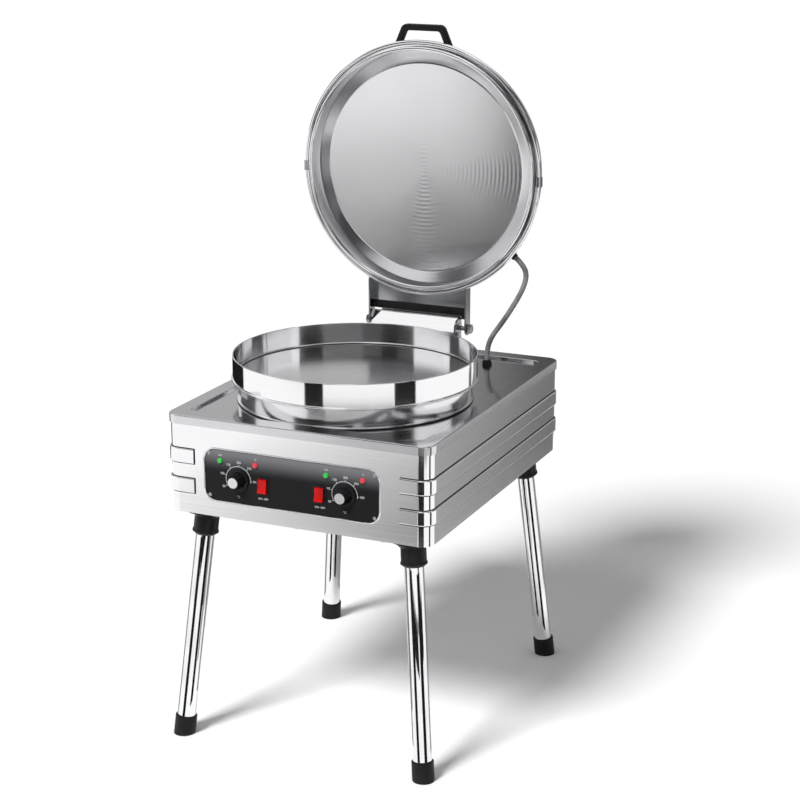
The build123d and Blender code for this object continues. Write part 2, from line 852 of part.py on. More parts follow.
def handle_outline(inset):
    """A trapezoid that runs down into the lid's wall, drawn smaller by an inset"""
    slope = (handle_base - handle_top) / 2 / handle_height
    top = drum_radius + handle_height - inset
    side_inset = inset * math.hypot(1, slope)
    half_top = handle_top / 2 - side_inset + slope * inset
    foot_line = drum_radius - 2 * handle_bar
    half_foot = half_top + slope * (top - foot_line)
    Polygon((-half_foot, foot_line), (half_foot, foot_line), (half_top, top), (-half_top, top), align=None)


with BuildPart() as lid_handle:
    handle_plane = lid_face.offset(handle_depth / 2 - gland_depth)
    with BuildSketch(handle_plane) as handle_section:
        handle_outline(0)
        fillet(handle_section.vertices().group_by(Axis.Y)[-1], radius=handle_corner)
    extrude(amount=-handle_depth)
    with BuildSketch(handle_plane) as grip_section:
        handle_outline(handle_bar)
        fillet(grip_section.vertices().group_by(Axis.Y)[-1], radius=handle_corner - handle_bar / 2)
    extrude(amount=-handle_depth, mode=Mode.SUBTRACT)
    side_edges = lid_handle.edges().filter_by(Plane.XZ)
    shown = side_edges.filter_by(lambda edge: edge.center().Z > lid_z + drum_radius - handle_bar)
    fillet(shown, radius=handle_round)
    with BuildSketch(handle_plane.offset(cut_margin)):
        Circle(drum_radius + seat_gap)
    extrude(amount=-handle_depth - 2 * cut_margin, mode=Mode.SUBTRACT)
    with BuildSketch(Plane.XY.offset(lid_z + drum_radius - 2 * handle_bar)):
        with Locations([(x, lid_rim_y + gland_depth) for x in (-handle_screw_x, handle_screw_x)]):
            Circle(screw_radius + screw_gap)
    extrude(amount=2 * handle_bar + screw_hole_depth, mode=Mode.SUBTRACT)
save(lid_handle, "lid_handle")

# Yoke, the lid's half of the hinge

arm_left_x = yoke_x - yoke_half
arm_right_x = yoke_x + yoke_half
saddle_radius = drum_radius + seat_gap + saddle_thickness
saddle_span = math.degrees(math.asin((yoke_half - yoke_x + 2 * arm_thickness) / saddle_radius))

with BuildPart() as yoke_web:
    with BuildSketch(lid_face.offset(-saddle_start - sheet)):
        with BuildLine():
            start = -90 - saddle_span
            CenterArc((0, 0), saddle_radius, start, 2 * saddle_span)
            CenterArc((0, 0), saddle_radius - saddle_thickness, start, 2 * saddle_span)
            for angle in (start, start + 2 * saddle_span):
                inner = Vector(math.cos(math.radians(angle)), math.sin(math.radians(angle)))
                Line(inner * (saddle_radius - saddle_thickness), inner * saddle_radius)
        make_face()
    extrude(amount=-(saddle_end - saddle_start - sheet))
    web_origin = (0, hinge_y + web_back - web_thickness, hinge_z)
    web_width = 2 * (yoke_half - arm_thickness)
    web_height = lid_z - hinge_z - web_bottom
    with BuildSketch(Plane(origin=web_origin, x_dir=(1, 0, 0), z_dir=(0, -1, 0))):
        with Locations((yoke_x, web_bottom)):
            Rectangle(web_width, web_height, align=(Align.CENTER, Align.MIN))
        with Locations((0, lid_z - hinge_z)):
            Circle(saddle_radius - cut_margin, mode=Mode.SUBTRACT)
    extrude(amount=-web_thickness)
    for angle in yoke_rivet_angles():
        with BuildSketch(radial_plane(angle, saddle_radius + cut_margin, rivet_depth)):
            Circle(screw_radius + screw_gap)
        extrude(amount=-saddle_thickness - 2 * cut_margin, mode=Mode.SUBTRACT)
save(yoke_web, "yoke_web")

with BuildPart() as lid_clearance:
    with BuildSketch(lid_plane):
        Rectangle(saddle_radius, 4 * lid_depth, align=(Align.MIN, Align.CENTER))
        with Locations((0, saddle_start)):
            Rectangle(hoop_radius + 2 * seat_gap, 2 * lid_depth, align=(Align.MIN, Align.MAX))
    revolve(axis=lid_axis)

for name, outer_face, inward in (("left", arm_left_x, 1), ("right", arm_right_x, -1)):
    with BuildPart() as yoke_arm:
        with BuildSketch(hinge_plane.offset(outer_face)):
            Circle(arm_front)
            with Locations(((arm_back - arm_front) / 2, 0)):
                Rectangle(arm_front + arm_back, lid_z - hinge_z, align=(Align.CENTER, Align.MIN))
            Circle(hinge_shaft_radius + shaft_fit, mode=Mode.SUBTRACT)
        extrude(amount=inward * arm_thickness)
        add(lid_clearance.part, mode=Mode.SUBTRACT)
    save(yoke_arm, f"yoke_arm_{name}")

with BuildPart() as lid_fasteners:
    for angle in yoke_rivet_angles():
        with BuildSketch(radial_plane(angle, saddle_radius + shaft_fit, rivet_depth)):
            Circle(rivet_head_radius)
        extrude(amount=screw_head_height)
        with BuildSketch(radial_plane(angle, saddle_radius + screw_head_height, rivet_depth)):
            Circle(screw_radius)
        extrude(amount=-saddle_thickness - drum_sheet - 2 * screw_head_height)
        with BuildSketch(radial_plane(angle, drum_radius - drum_sheet - seat_gap, rivet_depth)):
            Circle(rivet_head_radius)
        extrude(amount=-screw_head_height)
    head_edge = handle_screw_x + screw_head_radius
    seat = lid_z + math.sqrt((drum_radius - drum_sheet) ** 2 - head_edge ** 2) - seat_gap
    for x in (-handle_screw_x, handle_screw_x):
        with BuildSketch(Plane.XY.offset(seat - screw_head_height)):
            with Locations((x, lid_rim_y + gland_depth)):
                Circle(screw_head_radius)
        extrude(amount=screw_head_height)
        with BuildSketch(Plane.XY.offset(seat)):
            with Locations((x, lid_rim_y + gland_depth)):
                Circle(screw_radius)
        extrude(amount=handle_bar)
save(lid_fasteners, "lid_fasteners")

# Hinge base on the deck

base_floor = tray - hinge_z
base_screw_x = (ear_left + base_screw_inset_x, ear_right - base_screw_inset_x)
base_screw_y = (hinge_y - base_front + base_screw_inset_y, hinge_y + base_back - base_screw_inset_y)
base_screws = [(x, y) for x in base_screw_x for y in base_screw_y]

with BuildPart() as hinge_base:
    with BuildSketch(Plane.XY.offset(tray)):
        with Locations(((ear_left + ear_right) / 2, hinge_y + (base_back - base_front) / 2)):
            Rectangle(ear_right - ear_left, base_back + base_front)
        with Locations(base_screws):
            Circle(screw_radius + screw_gap, mode=Mode.SUBTRACT)
    extrude(amount=base_thickness)
    stop_face = web_back + stop_gap
    with BuildSketch(Plane(origin=(0, hinge_y + stop_face, hinge_z), x_dir=(1, 0, 0), z_dir=(0, -1, 0))):
        stop_height = web_bottom + stop_overlap - base_floor
        with Locations(((ear_left + ear_right) / 2, base_floor)):
            Rectangle(ear_right - ear_left, stop_height, align=(Align.CENTER, Align.MIN))
    extrude(amount=-base_thickness)
    cover_run = cover_front - cover_sheet / 2 + cover_rise
    cover_fall = cover_top + cover_drop
    behind_cover = (cover_sheet / 2 + seat_gap) * math.hypot(cover_run, cover_fall) / cover_fall
    ear_front = cover_front - cover_sheet / 2 - behind_cover
    ear_top = hinge_shaft_radius * 3
    ear_top_front = (ear_top + cover_drop) * cover_run / cover_fall - ear_front
    with BuildSketch(hinge_plane.offset(ear_left)):
        with BuildLine():
            Polyline(
                (stop_face, base_floor),
                (stop_face, ear_top),
                (ear_top_front, ear_top),
                (-ear_front, -cover_drop),
                (-ear_front, base_floor),
                close=True,
            )
        make_face()
        Circle(hinge_shaft_radius + shaft_fit, mode=Mode.SUBTRACT)
    extrude(amount=ear_thickness)
    with BuildSketch(hinge_plane.offset(ear_right)):
        Circle(ear_radius)
        with Locations((-ear_radius, 0)):
            Rectangle(ear_radius + stop_face, -base_floor, align=(Align.MIN, Align.MAX))
        Circle(hinge_shaft_radius + shaft_fit, mode=Mode.SUBTRACT)
    extrude(amount=-ear_thickness)
save(hinge_base, "hinge_base")

with BuildPart() as hinge_cover:
    with BuildSketch(hinge_plane.offset(cover_left)):
        with BuildLine():
            Polyline(
                (cover_rise, cover_top),
                (-cover_front + cover_sheet / 2, -cover_drop),
                (-cover_front + cover_sheet / 2, -cover_foot),
            )
        trace(line_width=cover_sheet)
    extrude(amount=cover_right - cover_left)
save(hinge_cover, "hinge_cover")

with BuildPart() as hinge_shaft:
    with BuildSketch(hinge_plane.offset(arm_left_x - nut_height)):
        Circle(hinge_shaft_radius)
    extrude(amount=2 * yoke_half + 2 * nut_height)
save(hinge_shaft, "hinge_shaft")

ear_bolt_places = ((-10.0, 9.0), (-8.0, -11.5))

with BuildPart() as hinge_fasteners:
    for face, outward in ((arm_left_x - 2 * stop_gap, -1), (arm_right_x + 2 * stop_gap, 1)):
        with BuildSketch(hinge_plane.offset(face)):
            RegularPolygon(radius=nut_across / 2, side_count=6, major_radius=False)
            Circle(hinge_shaft_radius + shaft_fit, mode=Mode.SUBTRACT)
        extrude(amount=outward * nut_height)
    with BuildSketch(hinge_plane.offset(ear_right)):
        with Locations(ear_bolt_places):
            RegularPolygon(radius=ear_bolt_radius, side_count=6, major_radius=False)
    extrude(amount=ear_bolt_height)
    with BuildSketch(Plane.XY.offset(tray + base_thickness)):
        with Locations(base_screws):
            Circle(screw_head_radius)
    extrude(amount=screw_head_height)
    with BuildSketch(Plane.XY.offset(tray)):
        with Locations(base_screws):
            Circle(screw_radius)
    extrude(amount=base_thickness)
save(hinge_fasteners, "hinge_fasteners")

# Power hose from the deck to the lid

gland_y = lid_rim_y + gland_depth
deck_gland_top = tray + deck_gland_height

with BuildPart() as deck_gland:
    with BuildSketch(Plane.XY.offset(tray)):
        with Locations((gland_x, gland_y)):
            RegularPolygon(radius=gland_across / 2, side_count=6, major_radius=False)
    extrude(amount=deck_gland_height - gland_cap)
    with BuildSketch(Plane.XY.offset(deck_gland_top - gland_cap)):
        with Locations((gland_x, gland_y)):
            Circle(gland_neck)
    extrude(amount=gland_cap)
    fillet(deck_gland.faces().sort_by(Axis.Z)[-1].edges(), radius=gland_round)
    with BuildSketch(Plane.XY.offset(tray)):
        with Locations((gland_x, gland_y)):
            Circle(gland_neck)
    extrude(amount=-gland_thread)
save(deck_gland, "deck_gland")

lid_gland_plane = radial_plane(lid_gland_angle, drum_radius + seat_gap, gland_depth)

with BuildPart() as lid_gland:
    with BuildSketch(lid_gland_plane):
        RegularPolygon(radius=lid_gland_neck + clip_gap, side_count=6, major_radius=False)
    extrude(amount=lid_gland_reach - gland_cap)
    with BuildSketch(lid_gland_plane.offset(lid_gland_reach - gland_cap)):
        Circle(lid_gland_neck)
    extrude(amount=gland_cap)
    with BuildSketch(lid_gland_plane):
        Circle(lid_gland_neck)
    extrude(amount=-gland_locknut)
save(lid_gland, "lid_gland")

# The hose's route in the plane of both glands, as x and height
gland_direction = (math.cos(math.radians(lid_gland_angle)), math.sin(math.radians(lid_gland_angle)))
gland_reach = drum_radius + seat_gap + lid_gland_reach
hose_end = (gland_reach * gland_direction[0], lid_z + gland_reach * gland_direction[1])
hose_turn = tuple(end + hose_lead * way for end, way in zip(hose_end, gland_direction))
hose_route = [
    (gland_x, deck_gland_top),
    (gland_x, 706),
    (158, 736),
    (183, 770),
    (209, 811),
    (230, 850),
    (237, 880),
    hose_turn,
    hose_end,
]
hose_points = [Vector(x, gland_y, z) for x, z in hose_route]
hose_runs = [(b - a).length for a, b in zip(hose_points, hose_points[1:])]
hose_radii = []
for k in range(1, len(hose_points) - 1):
    turn = (hose_points[k] - hose_points[k - 1]).get_angle(hose_points[k + 1] - hose_points[k])
    hose_radii.append(0.45 * min(hose_runs[k - 1], hose_runs[k]) / math.tan(math.radians(turn / 2)))

with BuildPart() as power_hose:
    with BuildLine() as hose_line:
        FilletPolyline(*hose_points, radius=hose_radii)
    with BuildSketch(Plane(origin=hose_points[0], z_dir=(0, 0, 1))):
        Circle(hose_radius)
    sweep(path=hose_line.line)
save(power_hose, "power_hose")
print("hose runs", [round(run, 1) for run in hose_runs])
print("hose bend radii", [round(radius, 1) for radius in hose_radii])
hose_length = sum(edge.length for edge in hose_line.edges())
print("hose length", round(hose_length, 1))
print("hose volume over section times length",
      round(power_hose.part.volume / (math.pi * hose_radius ** 2 * hose_length), 4))

# Controls

rocker_tip = rocker_face + rocker_reach * math.tan(math.radians(rocker_tilt))
rocker_swing = math.hypot(rocker_reach, rocker_tip)
switch_width = rocker_width + 2 * rocker_gap + 2 * switch_wall
switch_height = 2 * (rocker_swing + rocker_gap + switch_wall)

with BuildPart() as control_panel:
    with BuildSketch(panel_face):
        panel_outline(0)
        with Locations([(x, knob_above_floor) for x in knob_x]):
            Circle(bushing_radius + screw_gap, mode=Mode.SUBTRACT)
        with Locations([(x, lamp_above_floor) for x in green_x + red_x]):
            Circle(lamp_radius - lamp_rim, mode=Mode.SUBTRACT)
        with Locations([(x, rocker_above_floor) for x in rocker_x]):
            Rectangle(switch_width + 2 * screw_gap, switch_height + 2 * screw_gap, mode=Mode.SUBTRACT)
        with Locations(panel_screw_places()):
            Circle(screw_radius + screw_gap, mode=Mode.SUBTRACT)
    extrude(amount=-panel_thickness)
save(control_panel, "control_panel")

with BuildPart() as panel_screws:
    with BuildSketch(panel_face):
        with Locations(panel_screw_places()):
            Circle(panel_screw_head)
    extrude(amount=panel_screw_rise)
    with BuildSketch(panel_face):
        with Locations(panel_screw_places()):
            Circle(screw_radius)
    extrude(amount=-panel_thickness - sheet - panel_screw_tail)
save(panel_screws, "panel_screws")


def on_panel(x, above_floor):
    """The panel's face with its origin at one of the controls"""
    origin = panel_face.from_local_coords((x, above_floor, 0))
    return Plane(origin=origin, x_dir=(1, 0, 0), z_dir=(0, -1, 0))


shaft_front = knob_gap + knob_height - shaft_from_face
shaft_back = panel_thickness + shaft_behind_panel

for side, x in zip(("left", "right"), knob_x):
    knob_face = on_panel(x, knob_above_floor)

    with BuildPart() as knob:
        with BuildSketch(knob_face.offset(knob_gap)):
            Circle(knob_skirt_radius)
        extrude(amount=knob_skirt_height)
        fillet(knob.faces().sort_by(Axis.Y)[0].edges(), radius=knob_skirt_round)
        for height, radius in ((knob_skirt_height, knob_body_radius), (knob_height, knob_face_radius)):
            with BuildSketch(knob_face.offset(knob_gap + height)):
                Circle(radius)
                with PolarLocations(radius + knob_flute_radius / 3, knob_flutes):
                    Circle(knob_flute_radius, mode=Mode.SUBTRACT)
        loft()
        fillet(knob.faces().sort_by(Axis.Y)[0].edges(), radius=knob_face_round)
        with BuildSketch(knob_face.offset(knob_gap + knob_height)):
            Circle(cap_radius - cap_overlap)
        extrude(amount=-cap_thickness, mode=Mode.SUBTRACT)
        with BuildSketch(knob_face.offset(knob_gap)):
            Circle(shaft_radius + shaft_fit)
        extrude(amount=shaft_front - knob_gap, mode=Mode.SUBTRACT)
        with BuildSketch(knob_face.offset(knob_gap)):
            Circle(bushing_radius + knob_recess_gap)
        extrude(amount=knob_skirt_height + knob_recess_gap, mode=Mode.SUBTRACT)
    save(knob, f"knob_{side}")

    with BuildPart() as knob_cap:
        with BuildSketch(knob_face.offset(knob_gap + knob_height)):
            Circle(cap_radius - cap_overlap - shaft_fit)
        extrude(amount=-cap_thickness)
        with BuildSketch(knob_face.offset(knob_gap + knob_height)):
            Circle(cap_radius)
        extrude(amount=cap_thickness)
        fillet(knob_cap.faces().sort_by(Axis.Y)[0].edges(), radius=cap_round)
    save(knob_cap, f"knob_cap_{side}")

    with BuildPart() as knob_shaft:
        with BuildSketch(knob_face.offset(-shaft_back)):
            Circle(shaft_radius)
        extrude(amount=shaft_back + shaft_front)
    save(knob_shaft, f"knob_shaft_{side}")

with BuildPart() as thermostats:
    width, depth, height = thermostat_size
    knob_face = on_panel(knob_x[0], knob_above_floor)
    with BuildSketch(knob_face.offset(-panel_thickness)):
        Rectangle(width, height)
    extrude(amount=-depth)
    with BuildSketch(knob_face.offset(-panel_thickness)):
        Circle(bushing_radius)
    extrude(amount=panel_thickness + knob_gap)
    with BuildSketch(knob_face):
        RegularPolygon(radius=bushing_radius + knob_gap, side_count=6, major_radius=True)
    extrude(amount=knob_gap)
    with BuildSketch(knob_face.offset(knob_gap)):
        Circle(shaft_radius + shaft_fit)
    extrude(amount=-knob_gap - shaft_back - shaft_fit, mode=Mode.SUBTRACT)
    add(thermostats.part.moved(Location((knob_x[1] - knob_x[0], 0, 0))))
save(thermostats, "thermostats")

with BuildPart() as switches:
    switch_face = on_panel(rocker_x[0], rocker_above_floor)
    with BuildSketch(switch_face):
        Rectangle(switch_width, switch_height)
    extrude(amount=-switch_depth)
    with BuildSketch(switch_face):
        RectangleRounded(switch_width + 2 * bezel_rim, switch_height + 2 * bezel_rim, bezel_rim)
    extrude(amount=bezel_thickness)
    fillet(switches.faces().sort_by(Axis.Y)[0].edges(), radius=bezel_thickness * 0.6)
    with BuildSketch(switch_face.offset(bezel_thickness)):
        Rectangle(rocker_width + 2 * rocker_gap, 2 * (rocker_swing + rocker_gap))
    extrude(amount=-switch_depth + switch_wall, mode=Mode.SUBTRACT)
    with BuildSketch(Plane(origin=switch_face.origin, x_dir=(0, -1, 0), z_dir=(-1, 0, 0))):
        Circle(rocker_pin_radius + shaft_fit)
    extrude(amount=switch_width / 2 - switch_wall / 4, both=True, mode=Mode.SUBTRACT)
    add(switches.part.moved(Location((rocker_x[1] - rocker_x[0], 0, 0))))
save(switches, "switches")

for side, x in zip(("left", "right"), rocker_x):
    pivot = on_panel(x, rocker_above_floor).origin
    rocker_plane = Plane(origin=pivot, x_dir=(0, -1, 0), z_dir=(-1, 0, 0))

    with BuildPart() as rocker:
        with BuildSketch(rocker_plane):
            with BuildLine():
                lower_back = (-rocker_back, -rocker_back_half)
                upper_back = (-rocker_back, rocker_back_half)
                shoulder_out = math.sqrt(rocker_swing ** 2 - rocker_shoulder ** 2)
                Line((rocker_face, 0), (rocker_tip, rocker_reach))
                RadiusArc((rocker_tip, rocker_reach), (-rocker_shoulder, shoulder_out), -rocker_swing)
                Line((-rocker_shoulder, shoulder_out), upper_back)
                Line(upper_back, lower_back)
                Line(lower_back, (-rocker_shoulder, -shoulder_out))
                RadiusArc((-rocker_shoulder, -shoulder_out), (rocker_tip, -rocker_reach), -rocker_swing)
                Line((rocker_tip, -rocker_reach), (rocker_face, 0))
            make_face()
        extrude(amount=rocker_width / 2, both=True)
        with BuildSketch(rocker_plane):
            Circle(rocker_pin_radius)
        extrude(amount=rocker_width / 2 + rocker_gap + switch_wall / 2, both=True)
    tilted = rocker.part.rotate(Axis(pivot, (1, 0, 0)), -rocker_tilt)
    tilted.label = f"rocker_{side}"
    export_step(tilted, f"parts/rocker_{side}.step")

for colour, places in (("green", green_x), ("red", red_x)):
    with BuildPart() as lamps:
        lamp_face = on_panel(places[0], lamp_above_floor)
        with BuildSketch(lamp_face):
            Circle(lamp_radius)
        extrude(amount=lamp_height)
        fillet(lamps.faces().sort_by(Axis.Y)[0].edges(), radius=lamp_round)
        with BuildSketch(lamp_face):
            Circle(lamp_radius - lamp_rim - shaft_fit)
        extrude(amount=-lamp_depth)
        add(lamps.part.moved(Location((places[1] - places[0], 0, 0))))
    save(lamps, f"lamps_{colour}")

with BuildPart() as terminal_block:
    block_x = mains_gland_x - block_from_gland
    block_y = casing_depth / 2 - block_from_back
    block_top = casing_floor + sheet + block_height
    with BuildSketch(Plane.XY.offset(casing_floor + sheet)):
        with Locations((block_x, block_y)):
            Rectangle(block_length, block_width)
    extrude(amount=block_height)
    with BuildSketch(Plane.XY.offset(block_top)):
        with Locations((block_x, block_y)):
            Rectangle(block_length, block_ridge)
    extrude(amount=block_ridge_height)
    with BuildSketch(Plane.XY.offset(block_top + block_ridge_height)):
        with Locations((block_x, block_y)):
            with GridLocations(block_hole_pitch, 1, block_holes, 1):
                Circle(block_hole_radius)
    extrude(amount=-block_hole_depth, mode=Mode.SUBTRACT)
save(terminal_block, "terminal_block")

with BuildPart() as mains_gland:
    gland_height = casing_floor + mains_gland_above_floor
    rear = Plane(origin=(mains_gland_x, casing_depth / 2, gland_height), x_dir=(1, 0, 0), z_dir=(0, 1, 0))
    with BuildSketch(rear):
        RegularPolygon(radius=mains_gland_across / 2, side_count=6, major_radius=False)
    extrude(amount=mains_gland_nut)
    with BuildSketch(rear.offset(mains_gland_nut)):
        Circle(mains_gland_neck)
    extrude(amount=mains_gland_reach - mains_gland_nut)
    fillet(mains_gland.faces().sort_by(Axis.Y)[-1].edges(), radius=mains_gland_round)
    with BuildSketch(rear):
        Circle(gland_neck)
    extrude(amount=-gland_thread)
    with BuildSketch(rear.offset(-sheet)):
        RegularPolygon(radius=mains_gland_across / 2, side_count=6, major_radius=False)
    extrude(amount=-gland_locknut)
    with BuildSketch(rear.offset(mains_gland_reach)):
        Circle(mains_gland_bore)
    extrude(amount=-2 * mains_gland_reach, mode=Mode.SUBTRACT)
save(mains_gland, "mains_gland")

print("closed lid rim height", round(lid_closed_rim, 2))
print("hinge axis y z", round(hinge_y, 2), round(hinge_z, 2))
print("open lid centre y z", round(lid_rim_y, 2), round(lid_z, 2))
print("leg lean in degrees", round(leg_lean, 2))
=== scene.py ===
"""Looks of the double-heated round griddle: camera, power hose, finishes, dial prints, floor and light.

Metres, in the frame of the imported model: +Z up, the front towards -Y.
"""
import math

import bmesh
import bpy
from mathutils import Matrix, Vector


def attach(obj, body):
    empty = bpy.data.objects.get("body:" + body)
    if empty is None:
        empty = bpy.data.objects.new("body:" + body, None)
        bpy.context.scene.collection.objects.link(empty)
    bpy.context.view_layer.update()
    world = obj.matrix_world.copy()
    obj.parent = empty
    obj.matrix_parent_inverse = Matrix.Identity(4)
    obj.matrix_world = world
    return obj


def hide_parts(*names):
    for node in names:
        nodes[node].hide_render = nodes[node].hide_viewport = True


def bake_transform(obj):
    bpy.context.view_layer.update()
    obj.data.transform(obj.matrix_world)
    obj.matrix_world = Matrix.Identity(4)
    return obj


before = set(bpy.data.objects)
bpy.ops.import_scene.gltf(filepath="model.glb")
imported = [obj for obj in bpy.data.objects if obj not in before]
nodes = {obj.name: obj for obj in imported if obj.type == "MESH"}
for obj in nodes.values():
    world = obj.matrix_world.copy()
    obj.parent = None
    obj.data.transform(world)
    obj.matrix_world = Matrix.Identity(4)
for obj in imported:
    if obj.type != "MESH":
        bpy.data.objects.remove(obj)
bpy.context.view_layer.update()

# Camera, at the photograph's angle and distance
camera_azimuth = math.radians(24.0)
camera_height_angle = math.radians(16.0)
camera_distance = 4.1613
camera_aim = Vector((0.0530, 0.0236, 0.6475))
camera_lens = 91.04
camera_sensor_width = 36.0
nearest_seen = 0.1
farthest_seen = 60.0

back = Vector((
    math.sin(camera_azimuth) * math.cos(camera_height_angle),
    -math.cos(camera_azimuth) * math.cos(camera_height_angle),
    math.sin(camera_height_angle),
))
camera_data = bpy.data.cameras.new("camera")
camera_data.lens = camera_lens
camera_data.sensor_width = camera_sensor_width
camera_data.clip_start = nearest_seen
camera_data.clip_end = farthest_seen
camera = bpy.data.objects.new("camera", camera_data)
camera.location = camera_aim + back * camera_distance
camera.rotation_mode = "QUATERNION"
camera.rotation_quaternion = (-back).to_track_quat("-Z", "Y")
bpy.context.scene.collection.objects.link(camera)
bpy.context.scene.camera = camera


def link(obj):
    """Put an object into the scene"""
    bpy.context.scene.collection.objects.link(obj)
    return obj


def smooth(obj, angle=35):
    """Shade a mesh smooth, with edges sharper than an angle kept"""
    for polygon in obj.data.polygons:
        polygon.use_smooth = True
    obj.data.set_sharp_from_angle(angle=math.radians(angle))
    return obj


def finish_mesh(name, shape):
    """Turn a finished bmesh into an object with clean, outward normals"""
    bmesh.ops.remove_doubles(shape, verts=shape.verts, dist=1e-6)
    bmesh.ops.recalc_face_normals(shape, faces=shape.faces)
    mesh = bpy.data.meshes.new(name)
    shape.to_mesh(mesh)
    shape.free()
    return link(bpy.data.objects.new(name, mesh))


# Power hose, from the deck's gland up to the lid's

hose_diameter = 0.0115
hose_rib_pitch = 0.0024
hose_rib_depth = 0.00035
hose_y = 0.2640
hose_route = [
    (0.1490, 0.6860),
    (0.1490, 0.7060),
    (0.1580, 0.7360),
    (0.1830, 0.7700),
    (0.2090, 0.8110),
    (0.2300, 0.8500),
    (0.2370, 0.8800),
    (0.2263, 0.9006),
    (0.2109, 0.9133),
]


def hose_curve(name):
    """The hose's centre line, a smooth curve with the route as its control points"""
    curve = bpy.data.curves.new(name, "CURVE")
    curve.dimensions = "3D"
    spline = curve.splines.new("NURBS")
    spline.points.add(len(hose_route) - 1)
    for point, (x, z) in zip(spline.points, hose_route):
        point.co = (x, hose_y, z, 1)
    spline.order_u = 3
    spline.use_endpoint_u = True
    spline.resolution_u = 12
    return curve


def mesh_of(curve, name):
    """The mesh that Blender makes of a curve"""
    holder = link(bpy.data.objects.new(name, curve))
    evaluated = holder.evaluated_get(bpy.context.evaluated_depsgraph_get())
    mesh = bpy.data.meshes.new_from_object(evaluated)
    bpy.data.objects.remove(holder)
    mesh.name = name
    return mesh


hose_centre = [vertex.co.copy() for vertex in mesh_of(hose_curve("hose_line"), "hose_line").vertices]


def make_hose():
    """A round sleeve with fine ribs, swept along the centre line"""
    rings_per_rib = 4
    sides = 20
    lengths = [0.0]
    for a, b in zip(hose_centre, hose_centre[1:]):
        lengths.append(lengths[-1] + (b - a).length)
    total = lengths[-1]
    last = len(lengths) - 1
    steps = round(total / hose_rib_pitch) * rings_per_rib
    shape = bmesh.new()
    rings = []
    for step in range(steps + 1):
        along = total * step / steps
        here = max(i for i in range(last) if lengths[i] <= along + 1e-9)
        share = (along - lengths[here]) / (lengths[here + 1] - lengths[here])
        centre = hose_centre[here].lerp(hose_centre[here + 1], share)
        ahead = (hose_centre[min(here + 2, last)] - hose_centre[max(here - 1, 0)]).normalized()
        turn = Matrix.Translation(centre) @ ahead.to_track_quat("Z", "Y").to_matrix().to_4x4()
        sunk = 0.5 - 0.5 * math.cos(math.tau * along / hose_rib_pitch)
        radius = hose_diameter / 2 - hose_rib_depth * sunk
        made = bmesh.ops.create_circle(shape, segments=sides, radius=radius, matrix=turn)
        rings.append([edge for edge in shape.edges if edge.verts[0] in made["verts"]])
    for a, b in zip(rings, rings[1:]):
        bmesh.ops.bridge_loops(shape, edges=a + b)
    bmesh.ops.contextual_create(shape, geom=rings[0])
    bmesh.ops.contextual_create(shape, geom=rings[-1])
    return smooth(finish_mesh("hose", shape), 60)


hose = make_hose()
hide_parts("power_hose")
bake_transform(hose)

# Shader building


def colour(code):
    """An sRGB hex colour as linear red, green, blue and alpha"""
    channels = [int(code[i:i + 2], 16) / 255 for i in (1, 3, 5)]
    return [c / 12.92 if c <= 0.04045 else ((c + 0.055) / 1.055) ** 2.4 for c in channels] + [1.0]


def grey(tone):
    """A linear grey as red, green, blue and alpha"""
    return [tone, tone, tone, 1.0]


# How high the white of a bump's pattern stands over its black, at a strength of 1
metal_bump_height = 0.001
plastic_bump_height = 0.0004

# The part of a noise pattern that is stretched to full contrast: softly for streaks, harder for patches
streak_range = {"From Min": 0.3, "From Max": 0.7}
patch_range = {"From Min": 0.35, "From Max": 0.65}


def add(tree, kind, inputs=None, links=None, **settings):
    """Add a shader node with its settings, plain inputs and links"""
    made = tree.nodes.new(kind)
    for name, value in settings.items():
        setattr(made, name, value)
    for name, value in (inputs or {}).items():
        made.inputs[name].default_value = value
    for name, source in (links or {}).items():
        tree.links.new(source, made.inputs[name])
    return made


def start_material(name):
    """An empty node material and the object's own coordinates in it"""
    material = bpy.data.materials.new(name)
    material.use_nodes = True
    tree = material.node_tree
    tree.nodes.clear()
    place = add(tree, "ShaderNodeTexCoord").outputs["Object"]
    return material, tree, place


def finish_material(tree, surface):
    """Join a shader to the material's output"""
    add(tree, "ShaderNodeOutputMaterial", links={"Surface": surface.outputs[0]})


